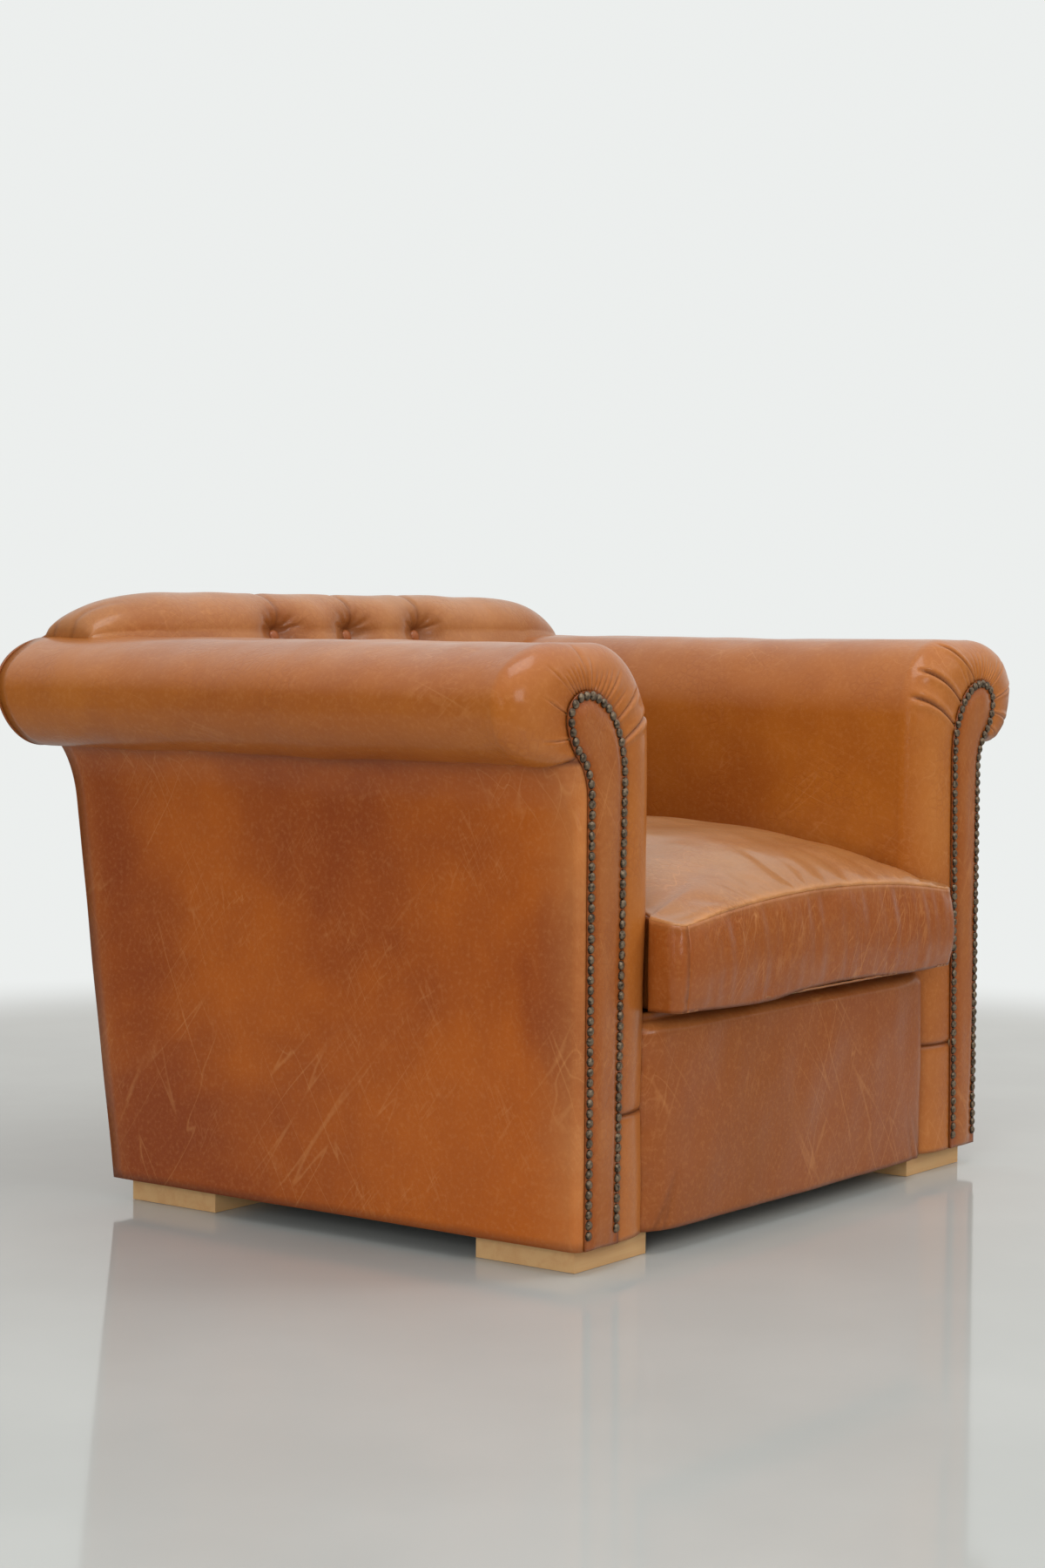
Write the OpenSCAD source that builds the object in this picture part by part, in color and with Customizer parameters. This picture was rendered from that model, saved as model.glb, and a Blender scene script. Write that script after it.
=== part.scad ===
// Low-backed club armchair in tan leather: rolled arms with nailed scroll facings,
// a buttoned back, one loose box cushion and four plain block feet.
// Millimetres. X runs across the chair, the front faces -Y, Z is up from the floor.

/* [Overall size] */
// Width of the upholstered base
base_w = 850; // [800:1:900]
// Depth of the base, from its front plane to the foot of the outside back
base_d = 664; // [640:1:700]
// Height of the arms above the floor
arm_top = 651; // [630:1:670]
// Height of the back above the floor
back_top = 704; // [695:1:740]
// Width of the seat between the arms
seat_w = 562; // [530:1:590]
// Depth of the seat, from the front plane to the foot of the inside back
seat_d = 548; // [520:1:560]
// Height of the sprung deck under the cushion
deck_z = 257; // [240:1:275]
// Backward slope of the outside back in degrees
back_rake = 7.8; // [4:0.1:10]

/* [Feet] */
// Height of a foot
foot_h = 25; // [18:1:45]
// Width of a foot, which is square
foot_w = 129; // [100:1:140]
// Setback of a foot from the edges of the base
foot_in = 16; // [8:1:24]
// Radius of a foot screw's shank
screw_r = 2.5; // [2:0.1:3]

/* [Arms] */
// Overhang of the roll past the side of the base
roll_over = 110; // [98:1:120]
// Height of the roll from its underside to the arm top
roll_h = 125; // [112:1:135]
// Flare of the side panel where it meets the roll
flare_out = 22; // [14:1:30]
// Height of that flare
flare_h = 68; // [50:1:90]
// Width of the rounded shoulder on the seat side of the arm
shoulder_w = 87; // [70:1:95]
// Height of that shoulder
shoulder_h = 92; // [75:1:105]
// Depth of the padded nose round the arm front
arm_nose = 38; // [32:1:44]
// Depth of the tighter turn at the outer front edge
edge_nose = 12; // [9:1:16]
// Height of the seam where the inside arm leather is pieced
piece_seam_z = 158; // [120:1:200]

/* [Arm facings] */
// Distance of the facing from the side of the base
facing_in = 9; // [7:1:14]
// Width of the facing at the top of its stem
facing_w = 68; // [60:1:74]
// Narrowing of the facing towards the floor
facing_taper = 9; // [0:1:14]
// Radius of a nail head
nail_r = 4.7; // [4:0.1:5]
// Height of a nail head
nail_h = 3.2; // [2:0.1:4]
// Spacing of the nails along the row
nail_pitch = 10.5; // [10.2:0.1:14]
// Height of the facing's dome between the nail rows
facing_dome = 4.5; // [2:0.1:7]

/* [Back] */
// Thickness of the padded top of the back
loaf_t = 104; // [90:1:114]
// Height of the rounding over the top of the back
loaf_h = 45; // [36:1:50]
// Width of the rounded top corners
corner_w = 176; // [150:1:190]
// Height of the rounded top corners
corner_h = 58; // [50:1:62]
// Reach of the back past the side of the base
wing_reach = 29; // [18:1:36]
// Spacing of the buttons across the back
tuft_pitch = 137; // [120:1:140]
// Spacing of the rows of buttons
tuft_rise = 105; // [90:1:110]
// Depth of a buttoned pit
tuft_depth = 22; // [12:1:26]
// Depth of the pleats that join the pits
pleat_depth = 7; // [3:1:10]
// Radius of a covered button
button_r = 9; // [7:0.5:11]

/* [Cushion] */
// Overhang of the cushion in front of the arms
cushion_lip = 38; // [28:1:46]
// Width that the cushion's front adds on each side
cushion_ear = 20; // [12:1:24]
// Height of the boxing at the corners
boxing_h = 92; // [80:1:105]
// Rise of the top seam between the corners
seam_rise = 21; // [10:1:28]
// Crown of the top panel above its seam
cushion_crown = 56; // [35:1:64]
// Crown of the bottom panel
bottom_crown = 5; // [2:1:8]
// How far the seams are drawn in from the boxing's fullest line
seam_in = 3; // [1:0.5:6]

/* [Front border] */
// Height of the deck above the top of the front border
border_drop = 7; // [3:1:12]
// Width that the border laps over each arm front
border_lap = 18; // [10:1:20]
// Padding of the border in front of the base's front plane
border_pad = 6; // [4:1:8]
// Fullness of the border at its middle
border_bulge = 4; // [0:1:8]

/* [Materials] */
// Thickness of the leather with its fleece
leather_t = 2; // [1.6:0.1:2.4]
// Thickness of the foam on the arms
arm_pad = 26; // [22:1:28]
// Thickness of the tack board behind the outside panels
board_t = 4; // [3:0.5:5]
// Thickness of the plywood scroll boards
ply_t = 18; // [15:1:20]
// Thickness of the timber rails
rail_t = 24; // [20:1:26]
// Thickness of the webbing
web_t = 2; // [1.5:0.1:3]
// Width of the webbing
web_w = 50; // [40:1:56]
// Thickness of the dust cover
dust_t = 1; // [0.8:0.1:1.5]

/* [Hidden] */

tan_leather = [0.66, 0.36, 0.16];
dark_leather = [0.55, 0.28, 0.12];
pine = [0.85, 0.70, 0.48];
beech = [0.78, 0.60, 0.40];
ply = [0.80, 0.66, 0.46];
hardboard = [0.42, 0.30, 0.20];
foam = [0.90, 0.86, 0.70];
jute = [0.70, 0.58, 0.38];
black_cloth = [0.10, 0.10, 0.10];
bronze = [0.30, 0.26, 0.20];

// clearance between pieces that move apart, and between rounded pieces that touch
gap = 0.3;
// a cut runs this far past the piece it cuts
over = 1;
// bottom of the timber frame, on top of the dust cover
frame_z = foot_h + dust_t;
arm_w = (base_w - seat_w) / 2;
half_w = base_w / 2;
tan_rake = tan(back_rake);
cos_rake = cos(back_rake);
sin_rake = sin(back_rake);
skin_t = leather_t + board_t;

// the part of the loaf's rounding that shows behind the ridge, down to the outside back's edge
loaf_turn = 150;
loaf_back_share = sin(loaf_turn);
rear_reach = base_d + (back_top - loaf_h * (1 - loaf_back_share) - foot_h) * tan_rake;
front_y = (cushion_lip - rear_reach) / 2;
rear_y0 = front_y + base_d;
// y of the plane that lies a depth d inside the outside back, at height z
function rear_y(z, d) = rear_y0 + (z - foot_h) * tan_rake - d / cos_rake;

// Points of a quarter or less of an ellipse, without its last point
function bow(cx, cz, rx, rz, a0, a1, n) =
    [for (i = [0:n - 1]) let (a = a0 + (a1 - a0) * i / n) [cx + rx * cos(a), cz + rz * sin(a)]];
// Points of a straight run, without its last point
function run(p, q, n) = [for (i = [0:n - 1]) p + (q - p) * i / n];
// Points of a curve with one control point, without its last point
function bend(p, c, q, n) =
    [for (i = [0:n - 1]) let (t = i / n) p * (1 - t) * (1 - t) + c * 2 * t * (1 - t) + q * t * t];

// Closed sheet between an outer and an inner grid of points, over the cells that keep(i, j) names.
// Both grids are split along the same diagonals, so neighbouring sheets fit without a gap.
// With wrap, the last row meets the first again.
module quilt(outer, inner, keep = function (i, j) true, wrap = false) {
    rows = len(outer);
    cols = len(outer[0]);
    count = rows * cols;
    cells = wrap ? rows : rows - 1;
    held = function (i, j)
        (wrap || (i >= 0 && i < cells)) && j >= 0 && j < cols - 1 && keep((i + rows) % rows, j);
    at = function (i, j) i % rows * cols + j;
    faces = [for (i = [0:cells - 1]) for (j = [0:cols - 2]) if (held(i, j)) each let (
        a = at(i, j), b = at(i, j + 1), c = at(i + 1, j + 1), d = at(i + 1, j)
    ) concat(
        [[c, b, a], [d, c, a], [count + a, count + b, count + c], [count + a, count + c, count + d]],
        held(i - 1, j) ? [] : [[count + a, a, b], [count + b, count + a, b]],
        held(i + 1, j) ? [] : [[count + c, c, count + d], [c, d, count + d]],
        held(i, j - 1) ? [] : [[count + d, d, a], [count + a, count + d, a]],
        held(i, j + 1) ? [] : [[count + b, b, count + c], [b, c, count + c]]
    )];
    polyhedron(points = concat([for (r = outer) each r], [for (r = inner) each r]), faces = faces);
}

// Plate of an (x, z) outline on the raked plane, its rear face a depth d inside the outside back
module raked_plate(outline, t, d) {
    translate([0, rear_y0, foot_h]) rotate([-back_rake, 0, 0]) translate([0, -d, 0])
        rotate([90, 0, 0]) linear_extrude(t)
            polygon([for (p = outline) [p[0], (p[1] - foot_h) / cos_rake]]);
}

// Box from one corner to the other
module block(low, high) {
    translate(low) cube(high - low);
}

// Draws a left-hand piece, and its mirror image for the right
module sided(side) {
    if (side == "left") children();
    else mirror([1, 0, 0]) children();
}

// Feet and base

foot_ys = [front_y + foot_in, rear_y0 - foot_in - foot_w];
// places of a foot's two screws along its depth, clear of the scroll boards
screw_shares = [0.45, 0.8];
screw_head_r = 2 * screw_r;
screw_head_h = screw_r;
screw_rise = 1.2 * foot_h;
block_h = 1.6 * foot_h;

module foot_screw_places() {
    for (y = foot_ys) for (side = [-1, 1]) for (share = screw_shares)
        translate([side * (half_w - foot_in - foot_w / 2), y + share * foot_w, 0]) children();
}

module screw_bores() {
    foot_screw_places() translate([0, 0, -over])
        cylinder(r = screw_r + gap, h = foot_h + screw_rise + over, $fn = 32);
}

module foot(side, y) {
    x = side < 0 ? foot_in - half_w : half_w - foot_in - foot_w;
    color(pine) difference() {
        block([x, y, 0], [x + foot_w, y + foot_w, foot_h]);
        screw_bores();
        foot_screw_places() translate([0, 0, -over])
            cylinder(r = screw_head_r + gap, h = screw_head_h + over, $fn = 32);
    }
}

module foot_front_left() { foot(-1, foot_ys[0]); }
module foot_front_right() { foot(1, foot_ys[0]); }
module foot_rear_left() { foot(-1, foot_ys[1]); }
module foot_rear_right() { foot(1, foot_ys[1]); }

// Two wood screws rise through each foot, their heads sunk in its underside
module foot_screws() {
    color("silver") foot_screw_places() rotate_extrude($fn = 32) polygon([
        [0, gap], [screw_head_r, gap], [screw_head_r, screw_head_h], [screw_r, screw_head_h],
        [screw_r, foot_h + screw_rise - screw_r], [0, foot_h + screw_rise - gap]
    ]);
}

// Hardwood blocks in the foot of each arm take the foot screws
module foot_blocks() {
    inner = arm_w - leather_t - arm_pad - board_t;
    color(beech) difference() {
        for (side = ["left", "right"]) sided(side) {
            block([skin_t + rail_t - half_w, front_y + arm_nose + ply_t, frame_z],
                [inner - half_w, front_y + foot_in + foot_w, frame_z + block_h]);
            block([skin_t + rail_t - half_w, foot_ys[1], frame_z],
                [inner - half_w, rear_y(frame_z, skin_t + ply_t), frame_z + block_h]);
        }
        screw_bores();
    }
}

module dust_cover() {
    edge = half_w - skin_t;
    color(black_cloth) difference() {
        block([-edge, front_y + arm_nose, foot_h], [edge, rear_y0 - skin_t, frame_z]);
        screw_bores();
    }
}

// Seat box between the arms

box_w = seat_w / 2 - gap;
deck_pad_t = 18;
// top of the front and rear rails, below the two crossing layers of webbing
rail_top = deck_z - leather_t - deck_pad_t - 2 * web_t;
seat_rail_h = 100;
border_top_w = 16;
back_rail_y = front_y + seat_d + rail_t;
seat_rail_end = rear_y(rail_top - seat_rail_h, skin_t + rail_t + web_t);

module front_rail() {
    color(beech) block([-box_w, front_y + border_pad, frame_z],
        [box_w, front_y + border_pad + rail_t, rail_top]);
}

module rear_seat_rail() {
    color(beech) block([rail_t - box_w, back_rail_y, rail_top - seat_rail_h],
        [box_w - rail_t, back_rail_y + rail_t, rail_top]);
}

module side_seat_rail(side) {
    color(beech) sided(side) block([-box_w, front_y + border_pad + rail_t, rail_top + web_t - seat_rail_h],
        [rail_t - box_w, seat_rail_end, rail_top + web_t]);
}

module side_seat_rail_left() { side_seat_rail("left"); }
module side_seat_rail_right() { side_seat_rail("right"); }

web_count = 5;
web_span = 2 * (box_w - rail_t);
web_long_pitch = web_span / web_count;
web_cross_count = 4;
web_cross_pitch = (back_rail_y - front_y - border_pad - rail_t) / web_cross_count;

// Elastic straps from the front rail to the rear one
module seat_webbing_long() {
    color(jute) for (i = [0:web_count - 1]) {
        x = (i + 0.5) * web_long_pitch - web_span / 2;
        block([x - web_w / 2, front_y + border_top_w, rail_top],
            [x + web_w / 2, back_rail_y + rail_t, rail_top + web_t]);
    }
}

// Straps across them, tacked to the side rails
module seat_webbing_cross() {
    color(jute) for (i = [0:web_cross_count - 1]) {
        y = front_y + border_pad + rail_t + (i + 0.5) * web_cross_pitch;
        block([-box_w, y - web_w / 2, rail_top + web_t], [box_w, y + web_w / 2, rail_top + 2 * web_t]);
    }
}

module deck_pad() {
    color(foam) block([-box_w, front_y + border_top_w, rail_top + 2 * web_t],
        [box_w, back_rail_y + rail_t, deck_z - leather_t]);
}

module deck_cover() {
    color(dark_leather) block([-box_w, front_y + border_top_w, deck_z - leather_t],
        [box_w, back_rail_y + rail_t, deck_z]);
}

// Front border

border_cols = 14;
border_rows = 5;
border_turn = 4;
border_w = box_w + border_lap;
border_top = deck_z - border_drop;
border_round = 14;

// How far back the border's top runs: less where it laps over an arm
function border_reach(side) = border_top_w + (border_pad + leather_t - border_top_w) * side;

// One point of the border's surface, a depth d inside the leather
function border_point(i, j, d) = let (
    u = 2 * j / border_cols - 1,
    side = pow(abs(u), 8),
    low = min(i, border_rows) / border_rows,
    a = 90 * max(0, i - border_rows) / border_turn,
    face = border_pad * (1 - side) + border_bulge * (1 - u * u) * sin(180 * low) - d,
    reach = border_reach(side)
) [
    (border_w - d) * u,
    front_y - face + (reach + face) * (1 - cos(a)),
    frame_z + (border_top - border_round - frame_z) * low + (border_round - d) * sin(a)
];

function border_grid(d) =
    [for (i = [0:border_rows + border_turn]) [for (j = [0:border_cols]) border_point(i, j, d)]];

// The rail's front and top, under the border's foam
function border_seat() = [for (i = [0:border_rows + border_turn]) [for (j = [0:border_cols]) let (
    low = min(i, border_rows) / border_rows,
    back = max(0, i - border_rows) / border_turn,
    side = pow(abs(2 * j / border_cols - 1), 8)
) [
    border_point(i, j, leather_t)[0],
    front_y + border_pad + (border_reach(side) - border_pad) * back,
    frame_z + (rail_top - frame_z) * low
]]];

module front_border_cover() {
    color(tan_leather) quilt(border_grid(0), border_grid(leather_t));
}

module front_border_foam() {
    color(foam) quilt(border_grid(leather_t), border_seat());
}

// Arms: section and nose

roll_under_in = 45;
roll_top_in = 10;
crease_rise = 5;
roll_bottom = arm_top - roll_h;
crease_z = roll_bottom + crease_rise;
belly_share = 0.52;
belly_z = roll_bottom + belly_share * roll_h;
flare_turn = 65;
flare_rx = flare_out / (1 - cos(flare_turn));
flare_rz = flare_h / sin(flare_turn);
flare_z = crease_z - flare_h;
shoulder_z = arm_top - shoulder_h;

// steps along the outline: stem, flare, underside, roll top, flat, shoulder, inner face, lower strip
stem_n = 3;
flare_n = 4;
belly_n = 6;
crest_n = 7;
flat_n = 2;
shoulder_n = 6;
face_n = 3;
strip_n = 2;
crease_i = stem_n + flare_n;
seam_i = crease_i + belly_n + crest_n + flat_n + shoulder_n + face_n;

// Outside of an arm a depth d in, from the floor up to the crease, as [inward, up]
function side_line(d) = concat(
    run([d, frame_z], [d, flare_z], stem_n),
    bow(-flare_rx, flare_z, flare_rx + d, flare_rz + d, 0, flare_turn, flare_n),
    [[-flare_rx + (flare_rx + d) * cos(flare_turn), flare_z + (flare_rz + d) * sin(flare_turn)]]
);

// The rest of the arm a depth d in, from the crease over the roll and down the seat side
function roll_line(d) = concat(
    run([-flare_out, crease_z + d], [-roll_under_in, roll_bottom + d], 1),
    bow(-roll_under_in, belly_z, roll_over - roll_under_in - d, belly_z - roll_bottom - d,
        270, 180, belly_n - 1),
    bow(-roll_top_in, belly_z, roll_over - roll_top_in - d, arm_top - belly_z - d, 180, 90, crest_n),
    run([-roll_top_in, arm_top - d], [arm_w - shoulder_w, arm_top - d], flat_n),
    bow(arm_w - shoulder_w, shoulder_z, shoulder_w - d, shoulder_h - d, 90, 0, shoulder_n),
    run([arm_w - d, shoulder_z], [arm_w - d, piece_seam_z], face_n),
    run([arm_w - d, piece_seam_z], [arm_w - d, frame_z], strip_n),
    [[arm_w - d, frame_z]]
);

// Height of a quarter circle of radius 1 at a share of its way out
function arch(share) = sqrt(max(0, 1 - share * share));
// Height of the arm's top over a place u inward from the side of the base, with clearance d
function arm_z(u, d) =
    u > arm_w - shoulder_w
        ? shoulder_z + (shoulder_h + d) * arch((u - arm_w + shoulder_w) / (shoulder_w + d))
    : u > -roll_top_in ? arm_top + d
    : belly_z + (arm_top - belly_z + d) * arch((u + roll_top_in) / (roll_over - roll_top_in + d));

// Outline of the facing a depth d in, with a point for each point of the arm's own outline
neck_rise = 28;
neck_z = flare_z + neck_rise;
neck_turn = 60;
neck_rx = 38;
neck_rz = 51;
loop_x = 6;
loop_rise = 49;
loop_z = roll_bottom + loop_rise;
loop_rx = 34;
loop_rz = 28;
stem_drop = 16;
stem_top = roll_bottom - stem_drop;
function facing_stem(d) = concat(
    run([facing_in + d, frame_z], [facing_in + d, neck_z], stem_n),
    bow(facing_in - neck_rx, neck_z, neck_rx + d, neck_rz + d, 0, neck_turn, flare_n)
);
function facing_side(d) = concat(facing_stem(d), [facing_neck(d)]);
function facing_neck(d) =
    [facing_in - neck_rx + (neck_rx + d) * cos(neck_turn), neck_z + (neck_rz + d) * sin(neck_turn)];
function facing_loop(d) = let (
    inner = facing_in + facing_w,
    left = [loop_x - loop_rx + d, loop_z],
    low = [inner - facing_taper - d, frame_z],
    top = [inner - d, stem_top],
    seam = top + (low - top) * (stem_top - piece_seam_z) / (stem_top - frame_z)
) concat(
    bend(facing_neck(d), [left[0] + d, (facing_neck(d)[1] + loop_z) / 2], left, belly_n),
    bow(loop_x, loop_z, loop_rx - d, loop_rz - d, 180, 90, crest_n),
    bow(loop_x, stem_top, inner - loop_x - d, loop_z + loop_rz - stem_top - d, 90, 75, flat_n),
    bow(loop_x, stem_top, inner - loop_x - d, loop_z + loop_rz - stem_top - d, 75, 0, shoulder_n),
    run(top, seam, face_n),
    run(seam, low, strip_n),
    [low]
);

nose_n = 4;
// depth of the nose along the outline: tight up the outer edge, full round the roll
function side_nose(k) = k <= stem_n ? edge_nose
    : edge_nose + (arm_nose - edge_nose) * (k - stem_n) / flare_n;

// One ring of the arm's surface: rings 0 to nose_n turn the nose, then the arm runs to the back
function arm_ring(line, facing, noses, r, d) = [for (k = [0:len(line) - 1]) let (
    s = 90 * min(r, nose_n) / nose_n,
    p = facing[k] + (line[k] - facing[k]) * sin(s),
    y = r <= nose_n ? front_y + d + (noses[k] - d) * (1 - cos(s))
        : r == nose_n + 1 ? front_y + arm_nose + ply_t
        : rear_y(p[1], skin_t)
) [p[0] - half_w, y, p[1]]];

function side_grid(d) = let (line = side_line(d)) [for (r = [0:nose_n + 2])
    arm_ring(line, facing_side(0), [for (k = [0:crease_i]) side_nose(k)], r, d)];
// rings 0 to nose_n reach the full depth of the nose already, so the next ring is left out here
function roll_grid(d, from, to) = let (
    line = roll_line(d),
    facing = facing_loop(0),
    noses = [for (k = line) arm_nose]
) [for (r = [0:nose_n + 2]) if (r != nose_n + 1)
    let (ring = arm_ring(line, facing, noses, r, d)) [for (k = [from:to]) ring[k]]];

roll_end = len(roll_line(0)) - 1;
strip_i = seam_i - crease_i;

module inside_arm_cover(side) {
    color(tan_leather) sided(side)
        quilt(roll_grid(0, 0, strip_i), roll_grid(leather_t, 0, strip_i));
}

// The strip that pieces out the inside arm leather down to the frame
module arm_lower_strip(side) {
    color(tan_leather) sided(side)
        quilt(roll_grid(0, strip_i, roll_end), roll_grid(leather_t, strip_i, roll_end));
}

module outside_arm_cover(side) {
    color(tan_leather) sided(side) quilt(side_grid(0), side_grid(leather_t));
}

// Foam from the leather to the former, the scroll board and the side of the front post
module arm_foam(side) {
    core = roll_line(leather_t + arm_pad);
    facing = facing_loop(0);
    seat = [for (r = [0:nose_n + 2]) if (r != nose_n + 1) [for (k = [0:roll_end]) let (
        s = 90 * min(r, nose_n) / nose_n,
        p = facing[k] + (core[k] - facing[k]) * sin(s)
    ) [p[0] - half_w, r <= nose_n ? front_y + arm_nose : rear_y(p[1], skin_t), p[1]]]];
    color(foam) sided(side) quilt(roll_grid(leather_t, 0, roll_end), seat);
}

// Bent board over the scroll boards, which carries the foam
module arm_former(side) {
    function ring(d, back) = [for (p = roll_line(d))
        [p[0] - half_w, back ? rear_y(p[1], skin_t) : front_y + arm_nose, p[1]]];
    outer = leather_t + arm_pad;
    color(hardboard) sided(side)
        quilt([ring(outer, false), ring(outer, true)],
            [ring(outer + board_t, false), ring(outer + board_t, true)]);
}

// Tack board behind the outside arm leather
module outside_arm_board(side) {
    function ring(d, back) = [for (p = side_line(d))
        [p[0] - half_w, back ? rear_y(p[1], skin_t) : front_y + arm_nose, p[1]]];
    color(hardboard) sided(side)
        quilt([ring(leather_t, false), ring(leather_t, true)], [ring(skin_t, false), ring(skin_t, true)]);
}

module inside_arm_cover_left() { inside_arm_cover("left"); }
module inside_arm_cover_right() { inside_arm_cover("right"); }
module arm_lower_strip_left() { arm_lower_strip("left"); }
module arm_lower_strip_right() { arm_lower_strip("right"); }
module outside_arm_cover_left() { outside_arm_cover("left"); }
module outside_arm_cover_right() { outside_arm_cover("right"); }
module arm_foam_left() { arm_foam("left"); }
module arm_foam_right() { arm_foam("right"); }
module arm_former_left() { arm_former("left"); }
module arm_former_right() { arm_former("right"); }
module outside_arm_board_left() { outside_arm_board("left"); }
module outside_arm_board_right() { outside_arm_board("right"); }

// Arms: timber

core_in = leather_t + arm_pad + board_t;
side_rail_h = 90;
top_rail_t = 22;
tack_rail_h = 60;
tack_rail_z = deck_z - tack_rail_h / 3;

// Outline of a scroll board: the outer skin's line, then the core of the roll a depth d in
function board_outline(d) = concat(side_line(skin_t), roll_line(d));

// Front post, a hair inside the facing's own outline, which the facing is nailed to
module arm_front_post(side) {
    color(beech) sided(side) translate([-half_w, front_y + arm_nose, 0]) rotate([90, 0, 0])
        linear_extrude(arm_nose) polygon(concat(facing_stem(gap), facing_loop(gap)));
}

module arm_scroll_board(side) {
    color(ply) sided(side) translate([-half_w, front_y + arm_nose + ply_t, 0]) rotate([90, 0, 0])
        linear_extrude(ply_t) polygon(board_outline(core_in));
}

module arm_rear_board(side) {
    rise = (skin_t + ply_t) * sin_rake;
    color(ply) sided(side)
        raked_plate([for (p = board_outline(core_in + rise)) [p[0] - half_w, p[1]]], ply_t, skin_t);
}

module arm_rail(side, low, high) {
    color(beech) sided(side) block([low[0] - half_w, front_y + arm_nose + ply_t, low[1]],
        [high[0] - half_w, rear_y(low[1], skin_t + ply_t), high[1]]);
}

module arm_top_rail(side) {
    arm_rail(side, [-roll_top_in, arm_top - core_in - top_rail_t], [arm_w - shoulder_w, arm_top - core_in]);
}

module arm_side_rail(side) {
    arm_rail(side, [skin_t, frame_z], [skin_t + rail_t, frame_z + side_rail_h]);
}

module arm_tack_rail(side) {
    arm_rail(side, [arm_w - core_in - rail_t, tack_rail_z], [arm_w - core_in, tack_rail_z + tack_rail_h]);
}

module arm_front_post_left() { arm_front_post("left"); }
module arm_front_post_right() { arm_front_post("right"); }
module arm_scroll_board_left() { arm_scroll_board("left"); }
module arm_scroll_board_right() { arm_scroll_board("right"); }
module arm_rear_board_left() { arm_rear_board("left"); }
module arm_rear_board_right() { arm_rear_board("right"); }
module arm_top_rail_left() { arm_top_rail("left"); }
module arm_top_rail_right() { arm_top_rail("right"); }
module arm_side_rail_left() { arm_side_rail("left"); }
module arm_side_rail_right() { arm_side_rail("right"); }
module arm_tack_rail_left() { arm_tack_rail("left"); }
module arm_tack_rail_right() { arm_tack_rail("right"); }

// Arms: facings and nails

nail_in = nail_r + gap;
// how full the facing's dome is at each of its lines, from the outer edge to the inner one
dome_full_shares = [0, 0, 1, 0, 0];
// share of a rung, of a given reach across, that the row of nails takes at each end
function flange_share(reach) = min(0.45, 2.4 * nail_in / reach);

// Leather strip with a padded middle, from rung to rung up the stem and round the scroll
module arm_facing(side) {
    edge = concat(facing_stem(0), facing_loop(0));
    last = len(edge) - 1;
    rungs = floor(last / 2);
    function grid(back) = [for (i = [0:rungs]) [for (j = [0:len(dome_full_shares) - 1]) let (
        rung = edge[last - i] - edge[i],
        flange = flange_share(abs(rung[0])),
        p = edge[i] + rung * [0, flange, 0.5, 1 - flange, 1][j],
        fade = i > rungs - 5 || i == 0 ? 0 : 1,
        rise = leather_t + facing_dome * fade * dome_full_shares[j]
    ) [p[0] - half_w, back ? front_y : front_y - rise, p[1]]]];
    color(tan_leather) sided(side) quilt(grid(false), grid(true));
}

// Points at an even spacing along a line of points
function steps(line) = [for (i = [0:len(line) - 2]) norm(line[i + 1] - line[i])];
function sums(v, i = 0, total = 0) =
    i == len(v) ? [total] : concat([total], sums(v, i + 1, total + v[i]));
function spaced(line, pitch) = let (
    step = steps(line),
    along = sums(step),
    count = floor(along[len(along) - 1] / pitch),
    pace = along[len(along) - 1] / count
) [for (n = [0:count]) let (
    s = n * pace,
    k = max([for (i = [0:len(step) - 1]) if (along[i] <= s + gap / 1000) i])
) line[k] + (line[k + 1] - line[k]) * (s - along[k]) / step[k]];

nail_low = 2 * nail_pitch;
function nail_line() = let (line = concat(facing_stem(nail_in), facing_loop(nail_in)))
    concat([line[0] + [0, nail_low - nail_r]], [for (i = [1:len(line) - 2]) line[i]],
        [line[len(line) - 1] + [0, nail_low - nail_r]]);

// Domed nail heads, close together round the whole facing
nail_sides = 6;
nail_shoulder_share = 0.72;
module facing_nails(side) {
    heads = spaced(nail_line(), nail_pitch);
    per = 2 * nail_sides + 1;
    function ring(p, r, rise) = [for (k = [0:nail_sides - 1]) let (a = 360 * k / nail_sides)
        [p[0] - half_w + r * cos(a), front_y - leather_t - rise, p[1] + r * sin(a)]];
    points = [for (p = heads) each concat(
        ring(p, nail_r, 0), ring(p, nail_shoulder_share * nail_r, nail_shoulder_share * nail_h),
        [[p[0] - half_w, front_y - leather_t - nail_h, p[1]]]
    )];
    faces = [for (n = [0:len(heads) - 1]) each let (o = n * per) concat(
        [[for (k = [0:nail_sides - 1]) o + k]],
        [for (k = [0:nail_sides - 1]) each let (
            next = (k + 1) % nail_sides, a = o + k, b = o + next,
            c = o + nail_sides + next, d = o + nail_sides + k, tip = o + 2 * nail_sides
        ) [[c, b, a], [d, c, a], [tip, c, d]]]
    )];
    color(bronze) sided(side) polyhedron(points = points, faces = faces);
}

module arm_facing_left() { arm_facing("left"); }
module arm_facing_right() { arm_facing("right"); }
module facing_nails_left() { facing_nails("left"); }
module facing_nails_right() { facing_nails("right"); }

// Back

tuft_z = back_top - loaf_h;
pit_r = 20;
pleat_r = 11;
face_power = 1.7;
wing_end_in = 3;
wing_x = half_w + wing_reach;
corner_x = wing_x - corner_w;
back_edge = seat_w / 2 - gap;

// Buttons in rows of three, four and three, as [x, z]
buttons = [for (row = [0:2]) for (i = [0:2 + row % 2])
    [(i - (2 + row % 2) / 2) * tuft_pitch, tuft_z - row * tuft_rise]];

// Height of the top of the back at x
function top_z(x) = abs(x) <= corner_x ? back_top
    : back_top - corner_h + corner_h * sqrt(max(0, 1 - pow((abs(x) - corner_x) / corner_w, 2)));
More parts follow.
